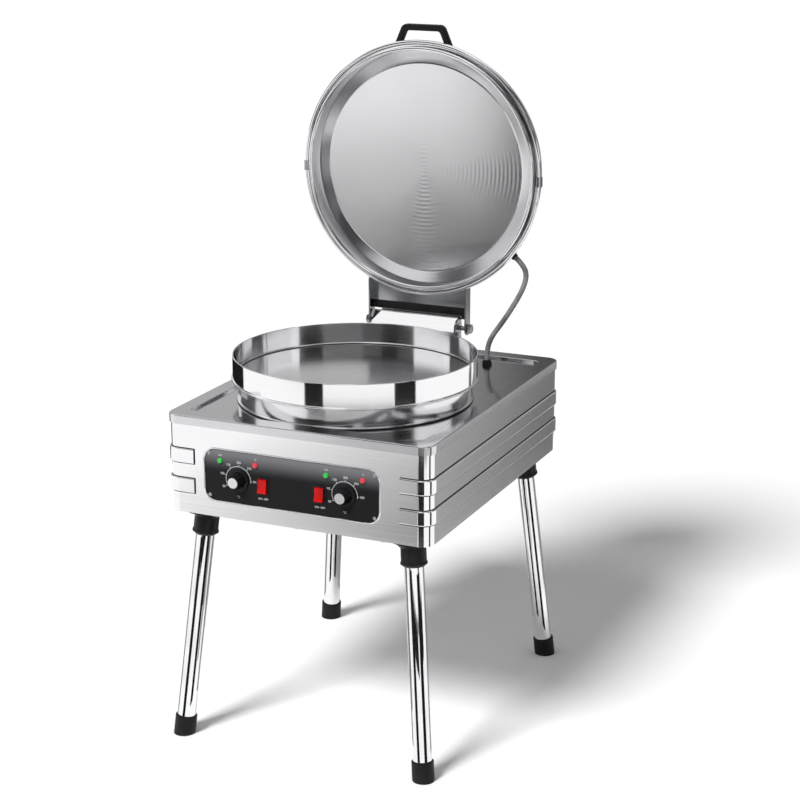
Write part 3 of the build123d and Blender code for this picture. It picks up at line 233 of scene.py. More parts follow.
def brushed_stainless(name, along, dark, light, rough, cross_rough, depth):
    """Stainless sheet with a fine brushed finish: the belt leaves fine parallel scratches, which give the
    eye a soft sheen, faintly streaked along the rolling direction. Real scratches are about 0.1 mm wide and
    are drawn 2 mm wide, because finer ones don't show. Rolling leaves faint clouds, about 250 mm wide."""
    material, tree, place = start_material(name)
    scratch_pitch = 0.002
    scratch_length = 0.30
    cloud_size = 0.25
    cloud_share = 0.3
    scale = [1 / (scratch_length if axis in along else scratch_pitch) for axis in "xyz"]
    stretched = add(tree, "ShaderNodeMapping", inputs={"Scale": scale}, links={"Vector": place})
    scratches = add(tree, "ShaderNodeTexNoise", inputs={"Scale": 1.0, "Detail": 4.0, "Roughness": 0.6},
                    links={"Vector": stretched.outputs["Vector"]})
    clouds = add(tree, "ShaderNodeTexNoise", inputs={"Scale": 1 / cloud_size, "Detail": 2.0},
                 links={"Vector": place})
    streaks = add(tree, "ShaderNodeMapRange", inputs=streak_range, links={"Value": scratches.outputs["Fac"]})
    both = add(tree, "ShaderNodeMix", inputs={"Factor": cloud_share},
               links={"A": streaks.outputs["Result"], "B": clouds.outputs["Fac"]})
    tone = add(tree, "ShaderNodeMix", data_type="RGBA", inputs={"A": colour(dark), "B": colour(light)},
               links={"Factor": both.outputs["Result"]})
    dullness = add(tree, "ShaderNodeMapRange", inputs={"To Min": rough, "To Max": cross_rough},
                   links={"Value": streaks.outputs["Result"]})
    raised = add(tree, "ShaderNodeBump", inputs={"Strength": depth, "Distance": metal_bump_height},
                 links={"Height": scratches.outputs["Fac"]})
    surface = add(tree, "ShaderNodeBsdfPrincipled", inputs={"Metallic": 1.0},
                  links={"Base Color": tone.outputs["Result"], "Roughness": dullness.outputs["Result"],
                         "Normal": raised.outputs["Normal"]})
    finish_material(tree, surface)
    return material


def spun_stainless(name, centre, hoop_axis, dark, light, rough):
    """Stainless hoop, spun and then buffed on a wheel: nearly a mirror, so it shows hard stripes of its
    surroundings. The wheel leaves faint lines round the hoop, about 0.2 mm apart and drawn 3 mm apart,
    because finer ones don't show."""
    material, tree, place = start_material(name)
    line_pitch = 0.003
    line_length = 0.5
    unevenness = 0.4
    scale = [1 / (line_pitch if axis == hoop_axis else line_length) for axis in "xyz"]
    centred = add(tree, "ShaderNodeMapping", inputs={"Location": [-c for c in centre]},
                  links={"Vector": place})
    stretched = add(tree, "ShaderNodeMapping", inputs={"Scale": scale},
                    links={"Vector": centred.outputs["Vector"]})
    lines = add(tree, "ShaderNodeTexNoise", inputs={"Scale": 1.0, "Detail": 3.0},
                links={"Vector": stretched.outputs["Vector"]})
    tone = add(tree, "ShaderNodeMix", data_type="RGBA", inputs={"A": colour(dark), "B": colour(light)},
               links={"Factor": lines.outputs["Fac"]})
    dullness = add(tree, "ShaderNodeMapRange",
                   inputs={"To Min": (1 - unevenness) * rough, "To Max": (1 + unevenness) * rough},
                   links={"Value": lines.outputs["Fac"]})
    surface = add(tree, "ShaderNodeBsdfPrincipled", inputs={"Metallic": 1.0},
                  links={"Base Color": tone.outputs["Result"], "Roughness": dullness.outputs["Result"]})
    finish_material(tree, surface)
    return material


def turned_aluminium(name, centre, face, axis, dark, light, anisotropy, ring_depth, faced_radius):
    """Cast aluminium plate, faced on a lathe: the tool leaves rings round the centre, which spread each
    reflection across them. Real rings are 0.3 mm apart. They show as arcs 9 mm apart, in three fans, as such
    fine rings do where they beat against each other: to both sides and downwards, while the one that points
    up fades out. The metal has pores and stains. The bevel outside the faced part is blasted and duller."""
    material, tree, place = start_material(name)
    ring_pitch = 0.009
    ring_drift_size = 0.2
    fan_pairs = 2.0
    fan_sharpness = 9.0
    fan_fade_height = 0.08
    pore_size = 1 / 300
    stain_size = 1 / 3.5
    pore_share = 0.35
    least_rough, most_rough = 0.17, 0.23
    bevel_start_width = 0.002
    bevel_rough = 0.30
    bevel_tone = "#f0f0f2"
    across, up = face
    in_face = [float(a in face) for a in "xyz"]

    centred = add(tree, "ShaderNodeMapping", inputs={"Location": [-c for c in centre]},
                  links={"Vector": place})
    flat = add(tree, "ShaderNodeVectorMath", operation="MULTIPLY", inputs={1: in_face},
               links={0: centred.outputs["Vector"]})
    reach = add(tree, "ShaderNodeVectorMath", operation="LENGTH", links={0: flat.outputs["Vector"]})
    drift = add(tree, "ShaderNodeTexNoise", inputs={"Scale": 1 / ring_drift_size, "Detail": 1.0},
                links={"Vector": place})
    uneven = add(tree, "ShaderNodeMath", operation="MULTIPLY_ADD", inputs={1: ring_pitch},
                 links={0: drift.outputs["Fac"], 2: reach.outputs["Value"]})
    phase = add(tree, "ShaderNodeMath", operation="MULTIPLY", inputs={1: math.tau / ring_pitch},
                links={0: uneven.outputs["Value"]})
    rings = add(tree, "ShaderNodeMath", operation="SINE", links={0: phase.outputs["Value"]})

    split = add(tree, "ShaderNodeSeparateXYZ", links={"Vector": flat.outputs["Vector"]})
    turn = add(tree, "ShaderNodeMath", operation="ARCTAN2",
               links={0: split.outputs[up.upper()], 1: split.outputs[across.upper()]})
    turns = add(tree, "ShaderNodeMath", operation="MULTIPLY", inputs={1: fan_pairs},
                links={0: turn.outputs["Value"]})
    wave = add(tree, "ShaderNodeMath", operation="COSINE", links={0: turns.outputs["Value"]})
    lobes = add(tree, "ShaderNodeMath", operation="ABSOLUTE", links={0: wave.outputs["Value"]})
    sharp = add(tree, "ShaderNodeMath", operation="POWER", inputs={1: fan_sharpness},
                links={0: lobes.outputs["Value"]})
    lower = add(tree, "ShaderNodeMapRange", inputs={"From Min": fan_fade_height, "From Max": 0.0},
                links={"Value": split.outputs[up.upper()]})
    lit = add(tree, "ShaderNodeMath", operation="MULTIPLY",
              links={0: sharp.outputs["Value"], 1: lower.outputs["Result"]})
    height = add(tree, "ShaderNodeMath", operation="MULTIPLY",
                 links={0: lit.outputs["Value"], 1: rings.outputs["Value"]})
    raised = add(tree, "ShaderNodeBump", inputs={"Strength": ring_depth, "Distance": metal_bump_height},
                 links={"Height": height.outputs["Value"]})

    pores = add(tree, "ShaderNodeTexNoise", inputs={"Scale": 1 / pore_size, "Detail": 3.0},
                links={"Vector": place})
    stains = add(tree, "ShaderNodeTexNoise", inputs={"Scale": 1 / stain_size, "Detail": 3.0},
                 links={"Vector": place})
    spots = add(tree, "ShaderNodeMix", inputs={"Factor": pore_share},
                links={"A": stains.outputs["Fac"], "B": pores.outputs["Fac"]})
    spread = add(tree, "ShaderNodeMapRange", inputs=streak_range, links={"Value": spots.outputs["Result"]})
    tone = add(tree, "ShaderNodeMix", data_type="RGBA", inputs={"A": colour(dark), "B": colour(light)},
               links={"Factor": spread.outputs["Result"]})
    dullness = add(tree, "ShaderNodeMapRange", inputs={"To Min": least_rough, "To Max": most_rough},
                   links={"Value": pores.outputs["Fac"]})

    outside = add(tree, "ShaderNodeMapRange",
                  inputs={"From Min": faced_radius, "From Max": faced_radius + bevel_start_width},
                  links={"Value": reach.outputs["Value"]})
    whole_tone = add(tree, "ShaderNodeMix", data_type="RGBA", inputs={"B": colour(bevel_tone)},
                     links={"Factor": outside.outputs["Result"], "A": tone.outputs["Result"]})
    whole_dullness = add(tree, "ShaderNodeMix", inputs={"B": bevel_rough},
                         links={"Factor": outside.outputs["Result"], "A": dullness.outputs["Result"]})
    tangent = add(tree, "ShaderNodeTangent", direction_type="RADIAL", axis=axis)
    surface = add(tree, "ShaderNodeBsdfPrincipled", inputs={"Metallic": 1.0, "Anisotropic": anisotropy},
                  links={"Base Color": whole_tone.outputs["Result"],
                         "Roughness": whole_dullness.outputs["Result"],
                         "Normal": raised.outputs["Normal"], "Tangent": tangent.outputs["Tangent"]})
    finish_material(tree, surface)
    return material


def plated_steel(name, dark, light, rough, dull, patch):
    """Steel with a plated coat: bright, with hazy patches from handling, of the size given"""
    material, tree, place = start_material(name)
    haze = add(tree, "ShaderNodeTexNoise", inputs={"Scale": 1 / patch, "Detail": 4.0},
               links={"Vector": place})
    patches = add(tree, "ShaderNodeMapRange", inputs=patch_range, links={"Value": haze.outputs["Fac"]})
    tone = add(tree, "ShaderNodeMix", data_type="RGBA", inputs={"A": colour(dark), "B": colour(light)},
               links={"Factor": patches.outputs["Result"]})
    dullness = add(tree, "ShaderNodeMapRange", inputs={"To Min": rough, "To Max": dull},
                   links={"Value": patches.outputs["Result"]})
    surface = add(tree, "ShaderNodeBsdfPrincipled", inputs={"Metallic": 1.0},
                  links={"Base Color": tone.outputs["Result"], "Roughness": dullness.outputs["Result"]})
    finish_material(tree, surface)
    return material


def moulded_plastic(name, dark, light, rough, dull, grain=0.0012, depth=0.15):
    """Plastic or rubber from a mould, or pressed board: a fine grain, of the size given, breaks up its gloss
    and traps about half of it, and handling leaves it slightly lighter in places, about 33 mm across"""
    material, tree, place = start_material(name)
    wear_size = 1 / 30
    gloss = 0.25
    texture = add(tree, "ShaderNodeTexNoise", inputs={"Scale": 1 / grain, "Detail": 2.0},
                  links={"Vector": place})
    wear = add(tree, "ShaderNodeTexNoise", inputs={"Scale": 1 / wear_size, "Detail": 3.0},
               links={"Vector": place})
    worn = add(tree, "ShaderNodeMapRange", inputs=patch_range, links={"Value": wear.outputs["Fac"]})
    tone = add(tree, "ShaderNodeMix", data_type="RGBA", inputs={"A": colour(dark), "B": colour(light)},
               links={"Factor": worn.outputs["Result"]})
    dullness = add(tree, "ShaderNodeMapRange", inputs={"To Min": rough, "To Max": dull},
                   links={"Value": worn.outputs["Result"]})
    raised = add(tree, "ShaderNodeBump", inputs={"Strength": depth, "Distance": plastic_bump_height},
                 links={"Height": texture.outputs["Fac"]})
    surface = add(tree, "ShaderNodeBsdfPrincipled", inputs={"IOR": 1.5, "Specular IOR Level": gloss},
                  links={"Base Color": tone.outputs["Result"], "Roughness": dullness.outputs["Result"],
                         "Normal": raised.outputs["Normal"]})
    finish_material(tree, surface)
    return material


def acrylic_print_and_sheen(name, dark, light, low, high):
    """Acrylic sheet, screen printed in black, with a painted sheen: its colour fades to grey at its top edge
    in place of the room's reflection there.
    The print has a fine grain of about 0.8 mm, and a satin lacquer mirrors the room only faintly"""
    material, tree, place = start_material(name)
    grain_size = 0.0008
    grain_share = 0.04
    rough, dull = 0.16, 0.24
    gloss = 0.15
    split = add(tree, "ShaderNodeSeparateXYZ", links={"Vector": place})
    # Painted sheen: the colour turns grey towards the top edge, between the two heights given
    painted_sheen = add(tree, "ShaderNodeMapRange", interpolation_type="SMOOTHSTEP",
               inputs={"From Min": low, "From Max": high}, links={"Value": split.outputs["Z"]})
    grain = add(tree, "ShaderNodeTexNoise", inputs={"Scale": 1 / grain_size, "Detail": 2.0},
                links={"Vector": place})
    speckled = add(tree, "ShaderNodeMath", operation="MULTIPLY_ADD", use_clamp=True,
                   inputs={1: grain_share}, links={0: grain.outputs["Fac"], 2: painted_sheen.outputs["Result"]})
    tone = add(tree, "ShaderNodeMix", data_type="RGBA", inputs={"A": colour(dark), "B": colour(light)},
               links={"Factor": speckled.outputs["Value"]})
    dullness = add(tree, "ShaderNodeMapRange", inputs={"To Min": rough, "To Max": dull},
                   links={"Value": grain.outputs["Fac"]})
    surface = add(tree, "ShaderNodeBsdfPrincipled", inputs={"IOR": 1.49, "Specular IOR Level": gloss},
                  links={"Base Color": tone.outputs["Result"], "Roughness": dullness.outputs["Result"]})
    finish_material(tree, surface)
    return material


def lamp_lens(name, dark, light, glow):
    """Tinted acrylic over a small neon: glossy, deep in colour and faintly lit through its inner facets,
    which are about 1.1 mm across"""
    material, tree, place = start_material(name)
    facet_size = 1 / 900
    facets = add(tree, "ShaderNodeTexVoronoi", inputs={"Scale": 1 / facet_size}, links={"Vector": place})
    tint = add(tree, "ShaderNodeMix", data_type="RGBA", inputs={"A": colour(dark), "B": colour(light)},
               links={"Factor": facets.outputs["Distance"]})
    surface = add(tree, "ShaderNodeBsdfPrincipled",
                  inputs={"IOR": 1.49, "Roughness": 0.12, "Emission Strength": glow},
                  links={"Base Color": tint.outputs["Result"], "Emission Color": tint.outputs["Result"]})
    finish_material(tree, surface)
    return material


# The open lid's plate stands upright, so its axis runs to the back; the pan's axis is upright
pan_y = -0.0785
pan_centre = (0, pan_y, 0)
lid_centre = (0, 0.2360, 1.08695)
lid_faced_radius = 0.2212
pan_faced_radius = 0.2440

# Folded sheet: casing, deck, hinge parts and hinge arms
casing_steel = brushed_stainless("stainless_brushed_casing", "xy", "#f0f0f2", "#fafafb", 0.07, 0.10, 0.005)
deck_steel = brushed_stainless("stainless_brushed_deck", "x", "#d2d2d5", "#e6e6e8", 0.10, 0.16, 0.001)
bracket_steel = brushed_stainless("stainless_brushed_bracket", "xz", "#a6a7aa", "#bcbdc0", 0.14, 0.22, 0.02)
# Hinge arms: a darker copy of the brushed steel, painted shade for their shaded inner faces
arm_steel_painted_shade = brushed_stainless("stainless_brushed_arms_painted_shade", "z", "#97989b", "#b0b1b4", 0.14, 0.22, 0.02)

# Hoops of the pan and the lid
band_steel = spun_stainless("stainless_buffed_pan", pan_centre, "z", "#eeeef0", "#fbfbfc", 0.07)
skirt_steel = spun_stainless("stainless_spun_skirt", pan_centre, "z", "#e6e6e8", "#f4f4f6", 0.15)
lid_steel = spun_stainless("stainless_buffed_lid", lid_centre, "y", "#e2e2e4", "#f4f4f6", 0.08)

# Cooking plates
lid_plate_metal = turned_aluminium("aluminium_turned_lid_plate", lid_centre, "xz", "Y",
                                   "#e6e6e8", "#f4f4f6", 0.4, 0.03, lid_faced_radius)
pan_plate_metal = turned_aluminium("aluminium_turned_pan_plate", pan_centre, "xy", "Z",
                                   "#e2e2e4", "#f4f4f6", 0.3, 0.02, pan_faced_radius)

# Leg tube, nickel and chrome plated after polishing: a mirror, with a few dull patches about 60 mm across
leg_chrome = plated_steel("steel_chrome_plated", "#ececee", "#fafafb", 0.03, 0.07, 0.06)

# Screws, shafts and heater tubes, dipped in zinc: greyer and duller, in patches of about 8 mm
zinc_steel = plated_steel("steel_zinc_plated", "#a4a5a8", "#cbccce", 0.20, 0.36, 0.008)

# Sockets, handle and glands: glass-filled nylon with a spark-eroded grain of 1.2 mm, half matt
black_plastic = moulded_plastic("nylon_moulded_black", "#0e0e0f", "#1b1b1d", 0.30, 0.44)

# Knobs: ABS from a polished mould, glossy enough to pick out the flutes
gloss_plastic = moulded_plastic("abs_moulded_black", "#101012", "#202023", 0.12, 0.20, depth=0.03)

# Feet: rubber, matt, with dust in its grain
black_rubber = moulded_plastic("rubber_moulded_black", "#111112", "#1e1e1f", 0.50, 0.66)

# Rockers: polycarbonate, deep red and glossy
red_plastic = moulded_plastic("polycarbonate_moulded_red", "#a40607", "#cc0f10", 0.14, 0.24, depth=0.02)

# Lamp lenses, which are lit in the photograph
green_lens = lamp_lens("acrylic_tinted_green", "#0b8f30", "#46c95c", 0.25)
red_lens = lamp_lens("acrylic_tinted_red", "#a80f22", "#e8505a", 0.25)

# Control panel: black print, with a painted sheen that fades its colour to grey between these two heights
panel_black = acrylic_print_and_sheen("acrylic_black_painted_sheen", "#141416", "#7c7c80", 0.575, 0.624)

# Hose sleeve: extruded vinyl over a coil, satin grey
sleeve_grey = moulded_plastic("vinyl_extruded_grey", "#6c6d70", "#8f9093", 0.32, 0.46, depth=0.05)

# Insulation: pressed ceramic fibre, chalky, with tufts of about 2 mm
ceramic_wool = moulded_plastic("ceramic_fibre_pressed", "#cfcac0", "#e9e5dc", 0.85, 0.95, 0.002, 0.6)

# Painted shade beside the ribs and at the skirt's foot: thin black lines, satin and slightly lighter in
# patches, that darken the creases where shade falls
painted_shade_black = moulded_plastic("black_painted_shade_lines", "#101012", "#232325", 0.40, 0.55, depth=0.05)

# Dial prints: white ink, laid on through a screen, satin
white_ink = moulded_plastic("ink_screen_printed_white", "#c9c9cb", "#e6e6e8", 0.40, 0.50, depth=0.02)

finishes = {
    casing_steel: ["front_wall", "back_wall", "side_wall_left", "side_wall_right", "bottom_plate",
                   "hinge_cover"],
    deck_steel: ["deck"],
    bracket_steel: ["yoke_web", "hinge_base", "seam_clips", "heat_shield"],
    arm_steel_painted_shade: ["yoke_arm_left", "yoke_arm_right"],
    band_steel: ["pan_band"],
    skirt_steel: ["pan_skirt"],
    lid_steel: ["lid_band", "lid_cover", "knob_cap_left", "knob_cap_right"],
    lid_plate_metal: ["lid_plate"],
    pan_plate_metal: ["lower_plate"],
    leg_chrome: ["leg_front_left", "leg_front_right", "leg_rear_left", "leg_rear_right"],
    zinc_steel: ["floor_screws", "panel_screws", "hinge_fasteners", "lid_fasteners", "hinge_shaft",
                 "lid_posts", "lower_heater", "lid_heater", "knob_shaft_left", "knob_shaft_right",
                 "thermostats"],
    black_plastic: ["socket_front_left", "socket_front_right", "socket_rear_left", "socket_rear_right",
                    "lid_handle", "deck_gland", "lid_gland", "mains_gland", "switches", "terminal_block"],
    gloss_plastic: ["knob_left", "knob_right"],
    black_rubber: ["foot_front_left", "foot_front_right", "foot_rear_left", "foot_rear_right"],
    red_plastic: ["rocker_left", "rocker_right"],
    green_lens: ["lamps_green"],
    red_lens: ["lamps_red"],
    panel_black: ["control_panel"],
    sleeve_grey: ["power_hose"],
    ceramic_wool: ["lower_insulation", "lid_insulation"],
}
for material, names in finishes.items():
    for name in names:
        nodes[name].data.materials.clear()
        nodes[name].data.materials.append(material)
hose.data.materials.append(sleeve_grey)

# Prints on the control panel

panel_y = -0.3500
print_gap = 0.00015
print_thickness = 0.0002
font_size_per_height = 1.4
knob_centres = [(-0.1240, 0.5635), (0.1045, 0.5635)]
green_lamps = [(-0.1630, 0.5980), (0.0660, 0.5980)]
red_lamps = [(-0.0860, 0.5980), (0.1430, 0.5980)]
rocker_centres = [(-0.0700, 0.5570), (0.0520, 0.5570)]


def printed(name, shape):
    """A thin print on the panel's face"""
    piece = finish_mesh(name, shape)
    piece.data.materials.append(white_ink)
    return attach(piece, "base")


def lettering(shape, text, x, z, height):
    """Add a line of plain letters or figures to a print"""
    letters = bpy.data.curves.new(text, "FONT")
    letters.body = text
    letters.size = height * font_size_per_height
    letters.align_x = "CENTER"
    letters.align_y = "CENTER"
    letters.extrude = print_thickness / 2
    mesh = mesh_of(letters, text)
    upright = Matrix.Rotation(math.pi / 2, 4, "X")
    mesh.transform(Matrix.Translation((x, panel_y - print_gap, z)) @ upright)
    shape.from_mesh(mesh)


def arc_print(shape, centre, inner, outer, first, last):
    """Add a strip round a dial, between two angles clockwise from the top"""
    step_angle = 5
    x, z = centre
    y = panel_y - print_gap
    start = math.radians(first)
    ends = [shape.verts.new((x + r * math.sin(start), y, z + r * math.cos(start))) for r in (inner, outer)]
    edge = shape.edges.new(ends)
    bmesh.ops.spin(shape, geom=[edge, *ends], cent=(x, y, z), axis=(0, 1, 0),
                   angle=math.radians(last - first), steps=max(2, round((last - first) / step_angle)))


# Each dial: figures at angles clockwise from the top, a short mark at each and a line through the marks
dial_figures = [(241, "50"), (285, "100"), (324, "150"), (363, "200"), (402, "250"), (450, "300")]
dial_line_ends = (238, 458)
dial_radius = 0.0265
dial_line_width = 0.0009
mark_length = 0.004
mark_half_angle = 1
figure_reach_x = 0.0365
figure_reach_z = 0.0350
figure_height = 0.0046
unit_height = 0.0044

for side, centre in zip(("left", "right"), knob_centres):
    x, z = centre
    dial = bmesh.new()
    arc_print(dial, centre, dial_radius, dial_radius + dial_line_width, *dial_line_ends)
    for angle, figure in dial_figures:
        arc_print(dial, centre, dial_radius, dial_radius + mark_length,
                  angle - mark_half_angle, angle + mark_half_angle)
        turn = math.radians(angle)
        lettering(dial, figure, x + figure_reach_x * math.sin(turn), z + figure_reach_z * math.cos(turn),
                  figure_height)
    lettering(dial, "°C", x, z - figure_reach_z, unit_height)
    printed(f"dial_print_{side}", dial)

# One line of label below each rocker and one above each lamp
label_drop = 0.0255
label_rise = 0.0108
switch_label_height = 0.0040
lamp_label_height = 0.0036

labels = bmesh.new()
for x, z in rocker_centres:
    lettering(labels, "ON  OFF", x, z - label_drop, switch_label_height)
for x, z in green_lamps:
    lettering(labels, "ON", x, z + label_rise, lamp_label_height)
for x, z in red_lamps:
    lettering(labels, "°C", x, z + label_rise, lamp_label_height)
printed("switch_and_lamp_labels", labels)

# Thin trim: rolled edges, lines of painted shade and a strip of painted shade over the hinge's slot


def trim(name, points, radius, finish, closed):
    """A thin round rod through the points given, with flat ends or closed to a loop"""
    curve = bpy.data.curves.new(name, "CURVE")
    curve.dimensions = "3D"
    curve.bevel_depth = radius
    curve.bevel_resolution = 3
    curve.use_fill_caps = not closed
    spline = curve.splines.new("POLY")
    spline.points.add(len(points) - 1)
    for point, place in zip(spline.points, points):
        point.co = (*place, 1)
    spline.use_cyclic_u = closed
    piece = smooth(link(bpy.data.objects.new(name, mesh_of(curve, name))), 50)
    piece.data.materials.append(finish)
    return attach(piece, "base")


def circle(radius, centre, steps=96):
    """Points round an upright axis"""
    x, y, z = centre
    turns = [math.tau * step / steps for step in range(steps)]
    return [(x + radius * math.cos(turn), y + radius * math.sin(turn), z) for turn in turns]


def rounded_window(width, height, corner, centre, steps=8):
    """Points round a window with rounded corners in an upright sheet"""
    x, y, z = centre
    points = []
    for quarter, (side_x, side_z) in enumerate(((1, 1), (-1, 1), (-1, -1), (1, -1))):
        for step in range(steps + 1):
            turn = math.pi / 2 * (quarter + step / steps)
            points.append((x + side_x * (width / 2 - corner) + corner * math.cos(turn), y,
                           z + side_z * (height / 2 - corner) + corner * math.sin(turn)))
    return points


window_width = 0.3768
window_height = 0.1078
window_corner = 0.0254
window_centre = (-0.010, panel_y - 0.0010, 0.5683)
rolled_edge_radius = 0.0016
window_outline = rounded_window(window_width, window_height, window_corner, window_centre)
trim("window_edge", window_outline, rolled_edge_radius, band_steel, True)

wall_x = 0.2800
wall_y = 0.3515
wall_corner = 0.0240
rib_end_x = 0.2200
shade_line_radius = 0.0008


def rib_shade_line(name, height, end_height):
    """A black line of painted shade along an edge of a rib and round the casing, which turns up or down at
    the rib's left end"""
    steps = 6
    reach = wall_corner + shade_line_radius / 2
    front = -wall_y - shade_line_radius / 2
    left = -rib_end_x + shade_line_radius
    points = [(left, front, end_height), (left, front, height)]
    corners = [(-1, -1, 270, 180), (-1, 1, 180, 90), (1, 1, 90, 0), (1, -1, 360, 270)]
    for side_x, side_y, first, last in corners:
        for step in range(steps + 1):
            turn = math.radians(first + (last - first) * step / steps)
            points.append((side_x * (wall_x - wall_corner) + reach * math.cos(turn),
                           side_y * (wall_y - wall_corner) + reach * math.sin(turn), height))
    points.append((rib_end_x, front, height))
    trim(name, points, shade_line_radius, painted_shade_black, False)


# Both ribs, each with a line of painted shade just below it and one just above it
gap_below = 0.0013
gap_above = 0.0007
for rib, bottom, top in (("low", 0.5240, 0.5535), ("high", 0.5842, 0.6137)):
    middle = (bottom + top) / 2
    rib_shade_line(f"rib_shade_line_{rib}_under", bottom - gap_below, middle)
    rib_shade_line(f"rib_shade_line_{rib}_over", top + gap_above, middle)

# Rings round the pan: name, radius, height, half thickness, finish and slot
plate_top = 0.7240
rim_wire = 0.0012
pan_rings = [
    ("pan_plate_rim", 0.2418, plate_top + rim_wire, rim_wire, band_steel, "stainless_polished"),
    # The three black rings are painted shade: in the gap at the plate's edge, under the bead and at the
    # skirt's foot
    ("pan_plate_groove_shade", 0.2388, plate_top + 0.0001, 0.0011, black_rubber, "black_rubber"),
    ("skirt_shade_line", 0.2364, 0.7162, 0.0010, black_rubber, "black_rubber"),
    ("skirt_foot_rim", 0.2366, 0.6790, 0.0015, band_steel, "stainless_polished"),
    ("skirt_foot_shade_line", 0.2374, 0.6757, 0.0010, painted_shade_black, "black_rubber"),
]
for name, radius, height, half, finish, slot in pan_rings:
    trim(name, circle(radius, (0, pan_y, height)), half, finish, True)

cover_edge = [(-0.1128, 0.2639, 0.7705), (0.0813, 0.2639, 0.7705)]
trim("hinge_cover_edge", cover_edge, rolled_edge_radius, band_steel, False)

# Black strip on the yoke's web, painted shade for the shaded slot behind it, deeper at its right end; it
# takes the rubber finish
slot_shade_boxes = [
    ((-0.1162, 0.2652, 0.7755), (0.1042, 0.2668, 0.7925)),
    ((0.0885, 0.2652, 0.7680), (0.1042, 0.2668, 0.7758)),
]
strip_bevel = 0.0004
strip_shape = bmesh.new()
for strip_low, strip_high in slot_shade_boxes:
    middle = [(a + b) / 2 for a, b in zip(strip_low, strip_high)]
    size = [b - a for a, b in zip(strip_low, strip_high)]
    bmesh.ops.create_cube(strip_shape, size=1.0,
                          matrix=Matrix.Translation(middle) @ Matrix.Diagonal((*size, 1)))
bmesh.ops.bevel(strip_shape, geom=strip_shape.edges[:], offset=strip_bevel, affect="EDGES", segments=2,
                profile=0.5, material=-1)
strip = smooth(finish_mesh("hinge_slot_painted_shade", strip_shape))
strip.data.materials.append(black_rubber)
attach(strip, "lid")

# Floor

floor_size = 40.0
floor_shape = bmesh.new()
bmesh.ops.create_grid(floor_shape, x_segments=1, y_segments=1, size=floor_size / 2)
floor = finish_mesh("floor", floor_shape)


def pale_floor():
    """A plain white painted floor: white where it is seen or mirrored, duller in the light it gives back"""
    bounced_tone = 0.5
    material, tree, _ = start_material("paint_floor_white")
    path = add(tree, "ShaderNodeLightPath")
    seen = add(tree, "ShaderNodeMath", operation="MAXIMUM",
               links={0: path.outputs["Is Camera Ray"], 1: path.outputs["Is Glossy Ray"]})
    tone = add(tree, "ShaderNodeMix", data_type="RGBA", inputs={"A": grey(bounced_tone), "B": grey(1.0)},
               links={"Factor": seen.outputs["Value"]})
    finish_material(tree, add(tree, "ShaderNodeBsdfDiffuse", links={"Color": tone.outputs["Result"]}))
    return material


floor.data.materials.append(pale_floor())


def studio_world():
    """Even white surroundings: white where they are seen or mirrored, softer as a light"""
    fill_light = 0.30
    world = bpy.data.worlds.new("studio_white")
    world.use_nodes = True
    tree = world.node_tree
    tree.nodes.clear()
    path = add(tree, "ShaderNodeLightPath")
    seen = add(tree, "ShaderNodeMath", operation="MAXIMUM",
               links={0: path.outputs["Is Camera Ray"], 1: path.outputs["Is Glossy Ray"]})
    strength = add(tree, "ShaderNodeMapRange", inputs={"To Min": fill_light, "To Max": 1.0},
                   links={"Value": seen.outputs["Value"]})
    light = add(tree, "ShaderNodeBackground", inputs={"Color": grey(1.0)},
                links={"Strength": strength.outputs["Result"]})
    add(tree, "ShaderNodeOutputWorld", links={"Surface": light.outputs["Background"]})
    bpy.context.scene.world = world


studio_world()


def sun_light(name, toward, spread, strength):
    """A broad lamp far away, which lights the whole floor alike and isn't mirrored in the metal"""
    data = bpy.data.lights.new(name, "SUN")
    data.angle = math.radians(spread)
    data.energy = strength
    lamp = link(bpy.data.objects.new(name, data))
    lamp.rotation_mode = "QUATERNION"
    lamp.rotation_quaternion = Vector(toward).to_track_quat("Z", "Y")
    lamp.visible_glossy = False


sun_light("key_light", toward=(-0.198, -0.65, 0.73), spread=17, strength=3.15)

# Grey and black cards round the object, which only the bright metal shows

card_lift = 0.002
arc_lift = 0.003


def make_card(name, shape, tones, axis="Z", ends=(0.0, 1.0)):
    """Make a shape a card that only glossy rays meet, with a first and a last tone, which blend along an
    axis between two places on it"""
    piece = finish_mesh(name, shape)
    material, tree, place = start_material(f"matt_{name}")
    split = add(tree, "ShaderNodeSeparateXYZ", links={"Vector": place})
    share = add(tree, "ShaderNodeMapRange", inputs={"From Min": ends[0], "From Max": ends[1]},
                links={"Value": split.outputs[axis]})
    tone = add(tree, "ShaderNodeMix", data_type="RGBA", inputs={"A": grey(tones[0]), "B": grey(tones[1])},
               links={"Factor": share.outputs["Result"]})
    finish_material(tree, add(tree, "ShaderNodeEmission", links={"Color": tone.outputs["Result"]}))
    piece.data.materials.append(material)
    piece.visible_camera = False
    piece.visible_diffuse = False
    piece.visible_shadow = False
    piece.visible_transmission = False


def standing_card(name, turn, distance, width, low, high, tones, axis="Z", ends=(0.0, 1.0), slide=0.0):
    """A card that stands facing the object, turned from the front towards the right and slid along its
    own width"""
    shape = bmesh.new()
    bmesh.ops.create_grid(shape, x_segments=1, y_segments=1, size=0.5)
    stand = Matrix.Rotation(math.pi / 2, 4, "X") @ Matrix.Diagonal((width, high - low, 1, 1))
    around = Matrix.Rotation(math.radians(turn), 4, "Z")
    move = Matrix.Translation((slide, -distance, (low + high) / 2))
    bmesh.ops.transform(shape, matrix=around @ move @ stand, verts=shape.verts)
    make_card(name, shape, tones, axis, ends)


def lying_card(name, first, last, tones, axis, ends):
    """A card that lies on the floor, from one corner to the other"""
    shape = bmesh.new()
    size = (last[0] - first[0], last[1] - first[1])
    middle = ((first[0] + last[0]) / 2, (first[1] + last[1]) / 2, card_lift)
    bmesh.ops.create_grid(shape, x_segments=1, y_segments=1, size=0.5,
                          matrix=Matrix.Translation(middle) @ Matrix.Diagonal((*size, 1, 1)))
    make_card(name, shape, tones, axis, ends)


